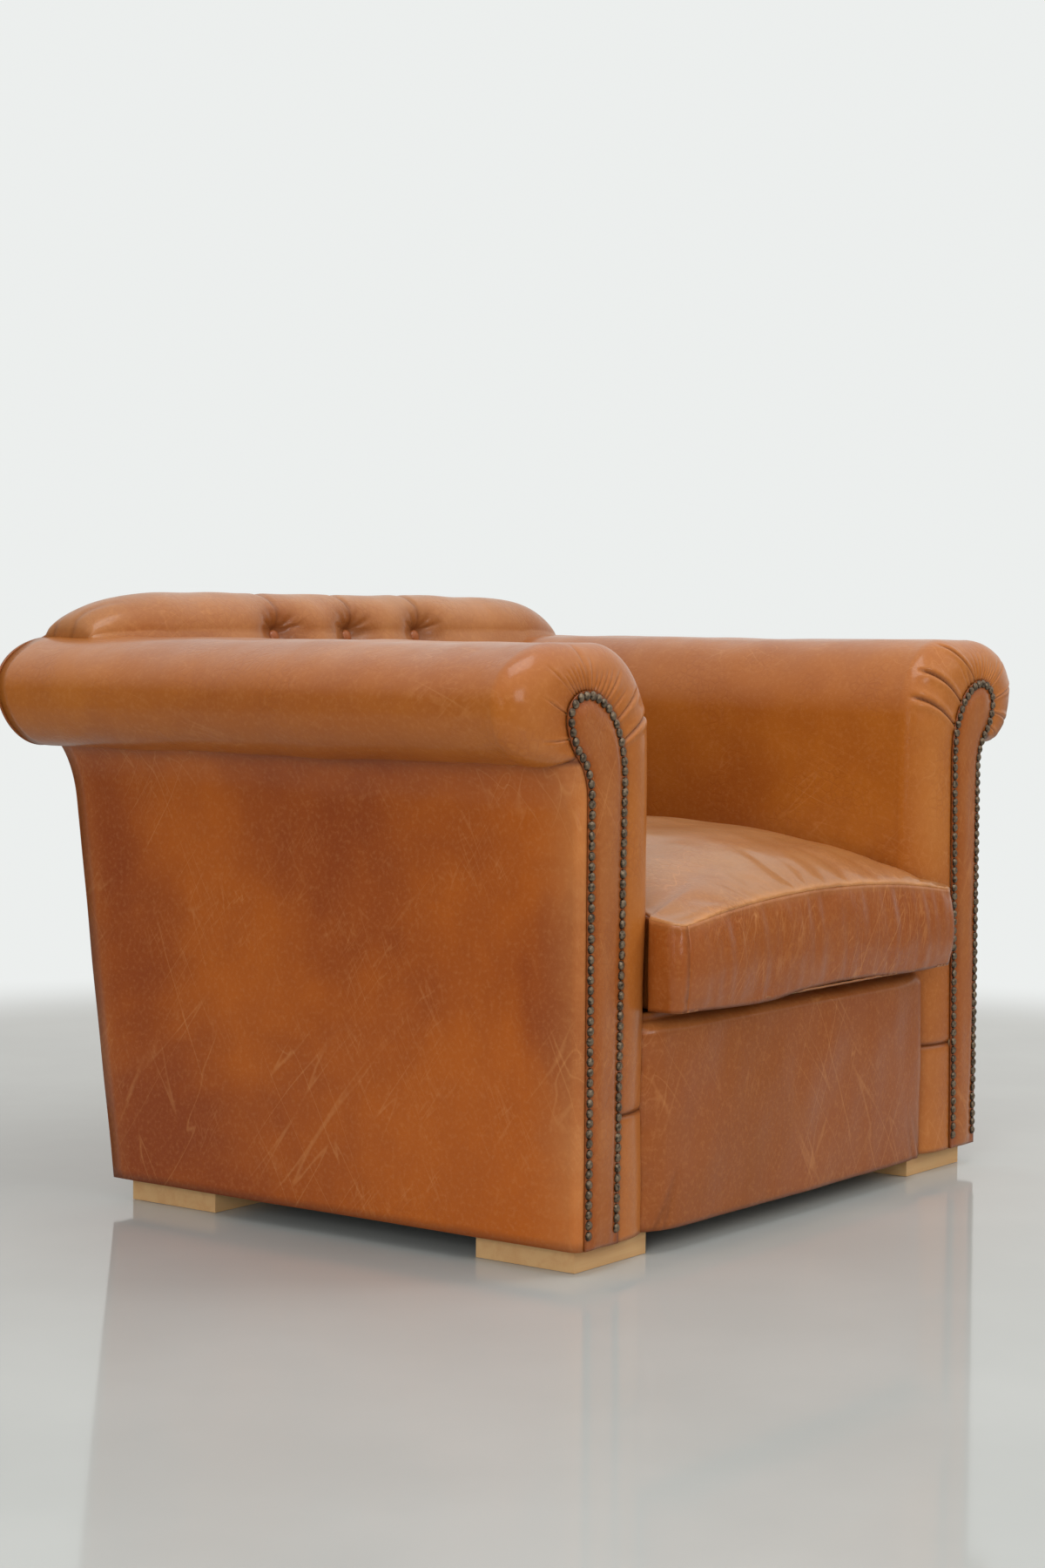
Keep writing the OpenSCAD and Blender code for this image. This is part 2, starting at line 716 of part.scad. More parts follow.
// Height where the back starts at x: the deck between the arms, the arm's top over them
function foot_z(x) = abs(x) <= back_edge ? shoulder_z : arm_z(half_w - abs(x), gap);
// Rounding at x, kept inside what stands above the arm
function turn_h(x) = min(loaf_h, 0.8 * (top_z(x) - foot_z(x)));
function turn_y(x) = loaf_t / 2 * (abs(x) <= corner_x ? 1
    : sqrt(max(0.15, 1 - 0.8 * pow((abs(x) - corner_x) / corner_w, 2))));

// Distance from a point to the stretch between two buttons
function off_line(p, a, b) = let (
    t = max(0, min(1, (p - a) * (b - a) / ((b - a) * (b - a))))
) norm(p - a - (b - a) * t);
// Depth of the pits and of the folds that join each button to the next row's
function tufting(x, z) = let (
    pits = [for (b = buttons) exp(-pow(norm([x, z] - b) / pit_r, 2) / 2)],
    folds = [for (a = buttons) for (b = buttons)
        if (a[1] > b[1] && abs(a[1] - b[1]) < 1.5 * tuft_rise && abs(a[0] - b[0]) < tuft_pitch)
            exp(-pow(off_line([x, z], a, b) / pleat_r, 2) / 2)],
    falls = [for (b = buttons) if (b[1] == buttons[len(buttons) - 1][1] && z < b[1])
        exp(-pow((x - b[0]) / pleat_r, 2) / 2)]
) max(tuft_depth * max(pits), pleat_depth * max(folds), pleat_depth * max(concat([0], falls)));
// Depth of the pleats that run from the top buttons over the ridge, at turn angle a
function ridge_pleat(x, a) = max([for (i = [-1:1]) exp(-pow((x - i * tuft_pitch) / pleat_r, 2) / 2)])
    * pleat_depth * max(0, cos(a * 0.6));

low_n = 3;
mid_n = 3;
high_n = 3;
turn_n = 5;
face_rows = low_n + mid_n + high_n;
tuft_cols = 6;
side_cols = floor((back_edge - gap) / (tuft_pitch / tuft_cols));
wing_us = concat(
    [for (i = [1:shoulder_n]) arm_w - shoulder_w + (shoulder_w + gap) * sin(90 - 90 * i / shoulder_n)],
    [(arm_w - shoulder_w - roll_top_in) / 2, -roll_top_in, (wing_end_in - roll_top_in - wing_reach) / 2,
        wing_end_in - wing_reach]
);
half_cols = concat(
    [for (i = [0:side_cols]) i * tuft_pitch / tuft_cols], [back_edge], [for (u = wing_us) half_w - u]
);
col_n = len(half_cols) - 1;
back_xs = concat([for (i = [0:col_n - 1]) -half_cols[col_n - i]], half_cols);
wing_cols = len(wing_us);

// Height of row i at column x: rows follow the buttons, and start on the arm over the arms
function row_z(x, i) = let (
    bottom_row = tuft_z - 2 * tuft_rise,
    over_arm = abs(x) >= back_edge,
    waist = over_arm ? foot_z(x) : tuft_z - tuft_rise,
    last = top_z(x) - turn_h(x)
) i <= low_n ? deck_z + (bottom_row - deck_z) * i / low_n
    : i <= low_n + mid_n ? bottom_row + (waist - bottom_row) * (i - low_n) / mid_n
    : waist + (last - waist) * (i - low_n - mid_n) / high_n;

// One point of the back's surface, a depth d inside the leather
function back_point(x, i, d) = let (
    a = loaf_turn * max(0, i - face_rows) / turn_n,
    h = turn_h(x),
    half = turn_y(x),
    top = top_z(x),
    skin = min(d, h / 4),
    end_z = top - h * (1 - loaf_back_share),
    mid_y = rear_y(end_z, skin_t) + half * cos(loaf_turn),
    start_z = top - h,
    z = row_z(x, min(i, face_rows)),
    share = max(0, (z - deck_z) / (start_z - deck_z)),
    foot_y = front_y + seat_d,
    face_y = foot_y + (mid_y - half - foot_y) * pow(share, face_power),
    dip = skin + (i <= face_rows ? tufting(x, z) : max(ridge_pleat(x, a), tufting(x, start_z + h * sin(a))))
        * (abs(x) < back_edge ? 1 : 0),
    last = i == face_rows + turn_n
) i <= face_rows ? [x, face_y + dip, z]
    : last ? [x, rear_y(end_z - skin, skin_t), end_z - skin]
    : [x, mid_y - (half - dip) * cos(a), start_z + (h - dip) * sin(a)];

back_rows = face_rows + turn_n;
function back_grid(d) = [for (i = [0:back_rows]) [for (x = back_xs) back_point(x, i, d)]];
wing_from = low_n + mid_n;
back_keep = function (i, j) i >= wing_from || (j >= wing_cols && j < 2 * col_n - wing_cols);

module inside_back_cover() {
    color(tan_leather) quilt(back_grid(0), back_grid(leather_t), back_keep);
}

frame_in = skin_t + rail_t;
// height of the crest rail within the rounding of the back's top
crest_share = 0.15;
// The frame's plane and the top of the crest rail, under the back's foam
function back_seat_point(x, i) = let (
    p = back_point(x, i, leather_t),
    h = turn_h(x),
    a = loaf_turn * max(0, i - face_rows) / turn_n,
    z = i <= face_rows ? p[2] : top_z(x) - h + crest_share * h * min(1, a / 90),
    front = max(rear_y(z, frame_in + web_t), i <= face_rows ? p[1] + leather_t : 0),
    back = rear_y(z, skin_t)
) [x, front + (back - front) * max(0, (a - 90) / (loaf_turn - 90)), z];

module back_foam() {
    color(foam) quilt(back_grid(leather_t),
        [for (i = [0:back_rows]) [for (x = back_xs) back_seat_point(x, i)]], back_keep);
}

// Covered buttons, each with a cone behind it that sits in its pit
module back_buttons() {
    depth = 0.5 * button_r;
    color(dark_leather) for (b = buttons) {
        share = (b[1] - deck_z) / (tuft_z - deck_z);
        ref = rear_y(back_top - loaf_h * (1 - loaf_back_share), skin_t) + loaf_t / 2 * (cos(loaf_turn) - 1);
        run_y = ref - front_y - seat_d;
        slope = run_y * face_power * pow(share, face_power - 1) / (tuft_z - deck_z);
        translate([b[0], front_y + seat_d + run_y * pow(share, face_power) + tuft_depth - button_r / 3, b[1]])
            rotate([90 - atan(slope), 0, 0]) rotate_extrude($fn = 24) polygon([
                [0, gap], [button_r, depth + 2 * gap], [0.8 * button_r, 1.4 * depth], [0, 1.8 * depth]
            ]);
    }
}

post_w = 60;
back_rail_h = 57;
crest_z = shoulder_z;

// Raked posts that carry the back, from the floor of the frame to the crest rail
module back_posts() {
    color(beech) for (side = [-1, 1]) raked_plate([
        [side * back_edge, frame_z], [side * (back_edge - post_w), frame_z],
        [side * (back_edge - post_w), crest_z], [side * back_edge, crest_z]
    ], rail_t, skin_t);
}

// Shaped top rail, which laps over the rear ends of both arms
module back_crest_rail() {
    drop = (skin_t + rail_t) * sin_rake;
    xs = [for (x = half_cols) if (top_z(x) - (1 - crest_share) * turn_h(x) - foot_z(x) > 2 * drop) x];
    tops = [for (x = xs) [x, top_z(x) - (1 - crest_share) * turn_h(x) - drop - gap]];
    feet = [for (x = xs) if (x > back_edge) [x, foot_z(x)]];
    half = concat(tops, [for (i = [len(feet) - 1:-1:0]) feet[i]], [[back_edge, crest_z]]);
    color(beech) raked_plate(concat(half, [for (i = [len(half) - 1:-1:1]) [-half[i][0], half[i][1]]]),
        rail_t, skin_t);
}

module back_tack_rail() {
    color(beech) raked_plate([
        [post_w - back_edge, deck_z], [back_edge - post_w, deck_z],
        [back_edge - post_w, deck_z + back_rail_h], [post_w - back_edge, deck_z + back_rail_h]
    ], rail_t, skin_t);
}

back_web_count = 3;
module back_webbing() {
    low = deck_z + back_rail_h;
    pitch = (crest_z - low) / back_web_count;
    color(jute) for (i = [0:back_web_count - 1]) {
        z = low + (i + 0.5) * pitch;
        raked_plate([
            [-back_edge, z - web_w / 2], [back_edge, z - web_w / 2],
            [back_edge, z + web_w / 2], [-back_edge, z + web_w / 2]
        ], web_t, frame_in);
    }
}

// Outline of the whole rear: side, flare and roll of each arm, and the back's top
function rear_outline(d) = let (
    rise = skin_t * sin_rake,
    arm = concat(side_line(d), [for (p = roll_line(d)) if (p[0] < d - wing_reach) p]),
    left = [for (p = arm) [p[0] - half_w, p[1]]],
    top = [for (x = half_cols) if (x < wing_x - d)
        [-x, top_z(x) - turn_h(x) * (1 - loaf_back_share) - rise - d]],
    half = concat(left, [for (i = [len(top) - 1:-1:1]) top[i]])
) concat(half, [top[0]], [for (i = [len(half) - 1:-1:0]) [-half[i][0], half[i][1]]]);

module outside_back_board() {
    color(hardboard) raked_plate(rear_outline(leather_t), board_t, leather_t);
}

module outside_back_cover() {
    color(tan_leather) raked_plate(rear_outline(0), leather_t, 0);
}

// Seat cushion

cushion_cols = 16;
cushion_rows = 14;
cushion_half = seat_w / 2 - gap * 3;
cushion_z = deck_z + gap;
cushion_y0 = front_y - cushion_lip;
cushion_y1 = front_y + seat_d - gap * 3;
cushion_d = cushion_y1 - cushion_y0;
corner_round = 8;
crown_power = 0.62;

// Shares of the depth at which the rows lie: close together round the ears in front
ear_share = (cushion_lip - leather_t) / cushion_d;
step_share = (cushion_lip + leather_t) / cushion_d;
row_shares = concat([0, corner_round / cushion_d, ear_share, step_share],
    [for (i = [1:cushion_rows - 3]) step_share + (1 - step_share) * i / (cushion_rows - 3)]);

// Half width at a share of the depth, with the ears in front of the arms
function cushion_x(v) = v <= 0 ? cushion_half + cushion_ear - corner_round
    : v <= ear_share ? cushion_half + cushion_ear
    : v >= 1 ? cushion_half - corner_round
    : cushion_half;
// A place on the cushion's plan, a depth d in from its fullest line
function cushion_xy(i, j, d) = let (
    u = 2 * j / cushion_cols - 1,
    v = row_shares[i],
    y = cushion_y0 + cushion_d * v,
    draw = i == 0 ? d : i == 2 || i == 3 || i == cushion_rows ? -d : 0
) [(cushion_x(v) - d) * u, y + draw];

function seam_z(i, j) = let (u = 2 * j / cushion_cols - 1, v = 2 * row_shares[i] - 1)
    cushion_z + bottom_crown + boxing_h + seam_rise * (1 - u * u * v * v);
function top_point(i, j, d, side) = let (
    u = 2 * j / cushion_cols - 1,
    v = 2 * row_shares[i] - 1,
    rise = cushion_crown * pow(max(0, (1 - u * u) * (1 - v * v)), crown_power)
) concat(cushion_xy(i, j, seam_in + side), [seam_z(i, j) + rise - d]);
function bottom_point(i, j, d, side) = let (
    u = 2 * j / cushion_cols - 1,
    v = 2 * row_shares[i] - 1,
    fall = bottom_crown * pow(max(0, (1 - u * u) * (1 - v * v)), crown_power)
) concat(cushion_xy(i, j, seam_in + side), [cushion_z + bottom_crown - fall + d]);

function cushion_top(d, side = 0) =
    [for (i = [0:cushion_rows]) [for (j = [0:cushion_cols]) top_point(i, j, d, side)]];
function cushion_bottom(d, side = 0) =
    [for (i = [0:cushion_rows]) [for (j = [0:cushion_cols]) bottom_point(i, j, d, side)]];

module cushion_top_panel() {
    color(tan_leather) quilt(cushion_top(0), cushion_top(leather_t));
}

module cushion_bottom_panel() {
    color(tan_leather) quilt(cushion_bottom(leather_t), cushion_bottom(0));
}

module cushion_core() {
    slack = leather_t + gap;
    color(foam) quilt(cushion_top(2 * leather_t, slack), cushion_bottom(slack, slack));
}

// The plan's edge, front first and then round by the right side, as [row, column]
edge_cells = concat(
    [for (j = [0:cushion_cols - 1]) [0, j]],
    [for (i = [0:cushion_rows - 1]) [i, cushion_cols]],
    [for (j = [0:cushion_cols - 1]) [cushion_rows, cushion_cols - j]],
    [for (i = [0:cushion_rows - 1]) [cushion_rows - i, 0]]
);
zip_h = 12;
zip_t = leather_t;
// columns of the rear edge left plain at each end of the zip
zip_margin = 2;
zip_half = (1 - 2 * zip_margin / cushion_cols) * (cushion_half - corner_round - zip_t) - gap;
zip_mid_z = cushion_z + bottom_crown + boxing_h / 2;
zip_start = cushion_cols + cushion_rows + zip_margin;

// One upright of the boxing at an edge cell: fullest in the middle, drawn in at both seams
function boxing_column(c, d) = let (
    low = cushion_z + bottom_crown + leather_t,
    high = seam_z(c[0], c[1]) - leather_t
) [for (z = [low, zip_mid_z - zip_h / 2, zip_mid_z + zip_h / 2, high])
    concat(cushion_xy(c[0], c[1], seam_in * pow(2 * (z - low) / (high - low) - 1, 2) + d), [z])];

// Band round the cushion, open along the middle of its rear for the zip
module cushion_boxing() {
    color(tan_leather) quilt(
        [for (c = edge_cells) boxing_column(c, leather_t)], [for (c = edge_cells) boxing_column(c, 0)],
        function (i, j) j != 1 || i < zip_start || i >= zip_start + cushion_cols - 2 * zip_margin, true
    );
}

// Zip tape let into the rear boxing
module cushion_zip() {
    color(black_cloth) block([-zip_half, cushion_y1 - zip_t, zip_mid_z - zip_h / 2],
        [zip_half, cushion_y1 - gap / 2, zip_mid_z + zip_h / 2]);
}

slider_w = 9;
slider_l = 12;
slider_t = 2.4;
module zip_slider() {
    x = zip_half - slider_l;
    color(bronze) block([x - slider_l / 2, cushion_y1, zip_mid_z - slider_w / 2],
        [x + slider_l / 2, cushion_y1 + slider_t, zip_mid_z + slider_w / 2]);
}

foot_front_left();
foot_front_right();
foot_rear_left();
foot_rear_right();
foot_screws();
foot_blocks();
dust_cover();
front_rail();
rear_seat_rail();
side_seat_rail_left();
side_seat_rail_right();
seat_webbing_long();
seat_webbing_cross();
deck_pad();
deck_cover();
front_border_foam();
front_border_cover();
arm_front_post_left();
arm_front_post_right();
arm_scroll_board_left();
arm_scroll_board_right();
arm_rear_board_left();
arm_rear_board_right();
arm_top_rail_left();
arm_top_rail_right();
arm_side_rail_left();
arm_side_rail_right();
arm_tack_rail_left();
arm_tack_rail_right();
arm_former_left();
arm_former_right();
arm_foam_left();
arm_foam_right();
outside_arm_board_left();
outside_arm_board_right();
inside_arm_cover_left();
inside_arm_cover_right();
arm_lower_strip_left();
arm_lower_strip_right();
outside_arm_cover_left();
outside_arm_cover_right();
arm_facing_left();
arm_facing_right();
facing_nails_left();
facing_nails_right();
back_posts();
back_crest_rail();
back_tack_rail();
back_webbing();
back_foam();
inside_back_cover();
back_buttons();
outside_back_board();
outside_back_cover();
cushion_top_panel();
cushion_bottom_panel();
cushion_boxing();
cushion_core();
cushion_zip();
zip_slider();
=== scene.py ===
# Low-backed club armchair in tan pull-up leather, with rolled arms, nailed scroll
# facings, a buttoned back, one loose box cushion and plain pine feet.
# Metres throughout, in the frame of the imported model: the front faces -Y, Z is up.
import math

import bpy
import numpy as np
from mathutils import Matrix, Vector
from mathutils.geometry import delaunay_2d_cdt


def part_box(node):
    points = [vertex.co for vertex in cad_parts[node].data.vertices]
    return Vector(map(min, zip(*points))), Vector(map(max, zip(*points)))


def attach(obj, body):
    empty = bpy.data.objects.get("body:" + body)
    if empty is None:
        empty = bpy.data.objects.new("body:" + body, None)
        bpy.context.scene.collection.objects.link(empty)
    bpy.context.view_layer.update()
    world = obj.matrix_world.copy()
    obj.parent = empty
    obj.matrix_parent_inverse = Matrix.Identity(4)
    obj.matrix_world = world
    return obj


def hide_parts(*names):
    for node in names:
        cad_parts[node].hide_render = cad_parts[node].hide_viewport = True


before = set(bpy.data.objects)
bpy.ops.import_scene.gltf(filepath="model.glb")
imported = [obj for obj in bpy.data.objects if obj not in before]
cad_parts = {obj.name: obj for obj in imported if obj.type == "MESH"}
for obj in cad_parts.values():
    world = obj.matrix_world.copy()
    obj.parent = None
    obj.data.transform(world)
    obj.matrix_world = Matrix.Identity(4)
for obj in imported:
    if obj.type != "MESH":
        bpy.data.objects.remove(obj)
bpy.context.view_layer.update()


# Camera
# It stands low in front of the chair's near arm, level with the top of the back,
# and looks along the chair's corner, with its long lens tipped a little down.
CAMERA_AT = Vector((-2.8843, -2.1251, 0.6784))
CAMERA_YAW = math.radians(53.152)
CAMERA_PITCH = math.radians(3.226)
CAMERA_ROLL = math.radians(0.414)
CAMERA_LENS_MM = 68.53
CAMERA_SENSOR_MM = 36.0

ahead = Vector((
    math.sin(CAMERA_YAW) * math.cos(CAMERA_PITCH),
    math.cos(CAMERA_YAW) * math.cos(CAMERA_PITCH),
    -math.sin(CAMERA_PITCH),
))
level_right = Vector((math.cos(CAMERA_YAW), -math.sin(CAMERA_YAW), 0.0))
level_up = level_right.cross(ahead)
camera_right = level_right * math.cos(CAMERA_ROLL) + level_up * math.sin(CAMERA_ROLL)
camera_up = camera_right.cross(ahead)

lens = bpy.data.cameras.new("camera")
lens.lens = CAMERA_LENS_MM
lens.sensor_width = CAMERA_SENSOR_MM
lens.sensor_fit = "AUTO"
lens.clip_end = 60.0
camera = bpy.data.objects.new("camera", lens)
bpy.context.scene.collection.objects.link(camera)
turned = Matrix((camera_right, camera_up, -ahead)).transposed().to_4x4()
camera.matrix_world = Matrix.Translation(CAMERA_AT) @ turned
bpy.context.scene.camera = camera
bpy.context.scene.view_settings.view_transform = "Standard"


# Floor and light
# A pale polished floor that fades into an off-white room, as in a daylit showroom:
# a soft lamp overhead, a window at the side, one in front and a doorway on the right.
FLOOR_Z = -0.0004
FLOOR_HALF = 14.0
FLOOR_NEAR = (0.485, 0.500, 0.478, 1.0)
FLOOR_CLOUD = (0.520, 0.535, 0.512, 1.0)
ROOM_WHITE = (0.84, 0.86, 0.85, 1.0)
FLOOR_FADE_FROM = 1.55
FLOOR_FADE_TO = 2.15
FLOOR_IN_GLOSS = 0.25
FLOOR_ROUGH = 0.07
FLOOR_IOR = 1.28
FLOOR_SHINE = 0.34
PLAIN_WHITE = (1.0, 1.0, 1.0, 1.0)
MIRRORED_WHITE = (1.0, 0.98, 0.94, 1.0)
ROOM_FILL = 0.62
ROOM_GLOSS_LOW = 0.14
ROOM_GLOSS_HIGH = 1.25
WALL_GLOSS = 0.80
WALL_WAY = (0.80, 0.60, 0.0)
TOP_LAMP_WATTS = 17.0
TOP_LAMP_SIZE = 1.3
WINDOW_SIZE = 1.2
SIDE_WINDOW_WATTS = 46.0
FRONT_WINDOW_WATTS = 16.0
DOORWAY_WATTS = 34.0
LAMPS_FACE = Vector((0.0, 0.0, 0.4))


def add_node(tree, kind, inputs=None, **settings):
    """A node with its settings, its inputs given as values or as sockets to link."""
    made = tree.nodes.new(kind)
    for key, value in settings.items():
        setattr(made, key, value)
    for key, value in (inputs or {}).items():
        if isinstance(value, bpy.types.NodeSocket):
            tree.links.new(value, made.inputs[key])
        else:
            made.inputs[key].default_value = value
    return made


def new_material(name):
    """An empty material, its tree and its output node."""
    material = bpy.data.materials.new(name)
    material.use_nodes = True
    material.node_tree.nodes.clear()
    return material, material.node_tree, material.node_tree.nodes.new("ShaderNodeOutputMaterial")


def blend_colour(tree, share, first, second):
    """Mix of two colours, each a value or a socket."""
    return add_node(tree, "ShaderNodeMix", {0: share, 6: first, 7: second}, data_type="RGBA").outputs[2]


def ramp(tree, value, low, high, to_low=0.0, to_high=1.0):
    """Smooth step of a value from one pair of limits to another."""
    return add_node(tree, "ShaderNodeMapRange", {
        "Value": value, "From Min": low, "From Max": high, "To Min": to_low, "To Max": to_high,
    }, interpolation_type="SMOOTHSTEP").outputs["Result"]


def arithmetic(tree, operation, first, second=0.0):
    """One sum, product or other step on two values or sockets."""
    return add_node(tree, "ShaderNodeMath", {0: first, 1: second}, operation=operation).outputs[0]


def object_place(tree):
    """Places in the piece's own frame."""
    return add_node(tree, "ShaderNodeTexCoord").outputs["Object"]


def noise(tree, at, scale, detail, rough=0.5, distortion=0.0):
    """Cloudy noise over places, from 0 to 1."""
    return add_node(tree, "ShaderNodeTexNoise", {
        "Vector": at, "Scale": scale, "Detail": detail,
        "Roughness": rough, "Distortion": distortion,
    }).outputs["Fac"]


floor_mesh = bpy.data.meshes.new("floor")
floor_mesh.from_pydata(
    [(-FLOOR_HALF, -FLOOR_HALF, FLOOR_Z), (FLOOR_HALF, -FLOOR_HALF, FLOOR_Z),
     (FLOOR_HALF, FLOOR_HALF, FLOOR_Z), (-FLOOR_HALF, FLOOR_HALF, FLOOR_Z)], [], [(0, 1, 2, 3)])
floor = bpy.data.objects.new("floor", floor_mesh)
bpy.context.scene.collection.objects.link(floor)

floor_material, tree, output = new_material("floor")
place = object_place(tree)
from_middle = add_node(tree, "ShaderNodeVectorMath", {0: place}, operation="LENGTH").outputs["Value"]
faded = ramp(tree, from_middle, FLOOR_FADE_FROM, FLOOR_FADE_TO)
cloudy = ramp(tree, noise(tree, place, 2.2, 6.0), 0.35, 0.65)
polished = add_node(tree, "ShaderNodeBsdfPrincipled", {
    "Base Color": blend_colour(tree, cloudy, FLOOR_NEAR, FLOOR_CLOUD),
    "Roughness": FLOOR_ROUGH, "IOR": FLOOR_IOR, "Specular IOR Level": FLOOR_SHINE,
})
path = add_node(tree, "ShaderNodeLightPath")
far_strength = ramp(tree, path.outputs["Is Camera Ray"], 0.0, 1.0, FLOOR_IN_GLOSS, 1.0)
seen = add_node(tree, "ShaderNodeEmission", {"Color": ROOM_WHITE, "Strength": far_strength})
surface = add_node(tree, "ShaderNodeMixShader", {
    0: faded, 1: polished.outputs[0], 2: seen.outputs[0],
})
from_below = add_node(tree, "ShaderNodeNewGeometry").outputs["Backfacing"]
surface = add_node(tree, "ShaderNodeMixShader", {
    0: from_below, 1: surface.outputs[0], 2: add_node(tree, "ShaderNodeBsdfTransparent").outputs[0],
})
tree.links.new(surface.outputs[0], output.inputs["Surface"])
floor.data.materials.append(floor_material)

room = bpy.data.worlds.new("room")
room.use_nodes = True
tree = room.node_tree
tree.nodes.clear()
path = add_node(tree, "ShaderNodeLightPath")
sky = add_node(tree, "ShaderNodeTexCoord").outputs["Generated"]
up = add_node(tree, "ShaderNodeSeparateXYZ", {"Vector": sky}).outputs["Z"]
to_wall = add_node(tree, "ShaderNodeVectorMath", {0: sky, 1: WALL_WAY},
                   operation="DOT_PRODUCT").outputs["Value"]
brightness = arithmetic(tree, "MAXIMUM", ramp(tree, up, 0.0, 0.8, ROOM_GLOSS_LOW, ROOM_GLOSS_HIGH),
                        ramp(tree, to_wall, 0.35, 0.85, ROOM_GLOSS_LOW, WALL_GLOSS))
mirrored_room = add_node(tree, "ShaderNodeBackground", {"Color": MIRRORED_WHITE, "Strength": brightness})
fill = add_node(tree, "ShaderNodeBackground", {"Color": PLAIN_WHITE, "Strength": ROOM_FILL})
shown = add_node(tree, "ShaderNodeBackground", {"Color": ROOM_WHITE, "Strength": 1.0})
mixed = add_node(tree, "ShaderNodeMixShader", {
    0: path.outputs["Is Glossy Ray"], 1: fill.outputs[0], 2: mirrored_room.outputs[0]})
mixed = add_node(tree, "ShaderNodeMixShader", {
    0: path.outputs["Is Camera Ray"], 1: mixed.outputs[0], 2: shown.outputs[0]})
room_output = tree.nodes.new("ShaderNodeOutputWorld")
tree.links.new(mixed.outputs[0], room_output.inputs["Surface"])
bpy.context.scene.world = room


def soft_lamp(name, at, size, watts, mirrored=True):
    """Square area lamp that looks at the chair's seat, and may be kept out of its gloss."""
    lamp = bpy.data.lights.new(name, "AREA")
    lamp.size = size
    lamp.energy = watts
    held = bpy.data.objects.new(name, lamp)
    held.location = at
    held.rotation_mode = "QUATERNION"
    held.rotation_quaternion = (LAMPS_FACE - Vector(at)).to_track_quat("-Z", "Y")
    held.visible_glossy = mirrored
    bpy.context.scene.collection.objects.link(held)


soft_lamp("top_lamp", (-0.3, -0.8, 2.7), TOP_LAMP_SIZE, TOP_LAMP_WATTS)
soft_lamp("side_window", (-3.3, -1.7, 0.9), WINDOW_SIZE, SIDE_WINDOW_WATTS, mirrored=False)
soft_lamp("front_window", (-0.9, -4.0, 1.7), WINDOW_SIZE, FRONT_WINDOW_WATTS)
soft_lamp("doorway", (2.3, -2.6, 1.9), WINDOW_SIZE, DOORWAY_WATTS, mirrored=False)


# Feet
# Raw pine blocks sawn square, a little split at the corners, each with a dark knot
# or two, held from below by two zinc screws whose heads are sunk.
PINE_PALE = (0.56, 0.34, 0.15, 1.0)
PINE_DARK = (0.52, 0.29, 0.12, 1.0)
PINE_KNOT = (0.075, 0.035, 0.014, 1.0)


def open_group(name, *sockets):
    """A node group with its sockets, given as direction, kind and names, and what it is fed."""
    tree = bpy.data.node_groups.new(name, "ShaderNodeTree")
    for direction, kind, labels in sockets:
        for label in labels:
            tree.interface.new_socket(label, in_out=direction, socket_type="NodeSocket" + kind)
    return tree, tree.nodes.new("NodeGroupInput").outputs


def close_group(tree, **results):
    """Links a group's results to its outputs."""
    given_out = tree.nodes.new("NodeGroupOutput")
    for key, result in results.items():
        tree.links.new(result, given_out.inputs[key])
    return tree


def bumped(tree, height, strength, distance):
    """Normal of a surface with a fine height laid over it."""
    return add_node(tree, "ShaderNodeBump", {
        "Height": height, "Strength": strength, "Distance": distance,
    }).outputs[0]


def lay_surface(tree, output, inputs):
    """Ends a material with one Principled surface."""
    shader = add_node(tree, "ShaderNodeBsdfPrincipled", inputs)
    tree.links.new(shader.outputs[0], output.inputs["Surface"])


def wood_group():
    """Sawn grain along X with growth rings, pores and a few knots."""
    tree, given = open_group(
        "sawn_grain",
        ("INPUT", "Color", ("Pale", "Dark", "Knot")),
        ("INPUT", "Float", ("Along", "Across", "Knots")),
        ("OUTPUT", "Color", ("Colour",)),
        ("OUTPUT", "Float", ("Height",)))
    place = object_place(tree)
    stretch = add_node(tree, "ShaderNodeCombineXYZ", {
        "X": given["Along"], "Y": given["Across"], "Z": given["Across"]})
    fibre = add_node(tree, "ShaderNodeVectorMath", {0: place, 1: stretch.outputs[0]},
                     operation="MULTIPLY").outputs[0]
    rings = noise(tree, fibre, 1.0, 5.0, 0.65, 0.4)
    pores = noise(tree, fibre, 7.0, 3.0, 0.7)
    colour = blend_colour(tree, ramp(tree, rings, 0.38, 0.68), given["Pale"], given["Dark"])
    colour = blend_colour(tree, ramp(tree, pores, 0.62, 0.8, 0.0, 0.45), colour, given["Dark"])
    cells = add_node(tree, "ShaderNodeTexVoronoi", {"Vector": place, "Scale": 11.0})
    knot = ramp(tree, cells.outputs["Distance"], 0.17, 0.05)
    knot = arithmetic(tree, "MULTIPLY", knot, given["Knots"])
    colour = blend_colour(tree, knot, colour, given["Knot"])
    return close_group(tree, Colour=colour, Height=arithmetic(tree, "ADD", rings, pores))


SAWN_GRAIN = wood_group()


def wood_material(name, pale, dark, knots=0.0, along=3.0, across=55.0):
    """Raw timber or board, its grain running along X."""
    material, tree, output = new_material(name)
    grain = add_node(tree, "ShaderNodeGroup", {
        "Pale": pale, "Dark": dark, "Knot": PINE_KNOT, "Along": along, "Across": across, "Knots": knots,
    }, node_tree=SAWN_GRAIN).outputs
    lay_surface(tree, output, {
        "Base Color": grain["Colour"], "Roughness": 0.7,
        "Normal": bumped(tree, grain["Height"], 0.35, 0.0006)})
    return material


def dress(material, *nodes):
    """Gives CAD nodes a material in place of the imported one."""
    for node in nodes:
        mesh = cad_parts[node].data
        mesh.materials.clear()
        mesh.materials.append(material)


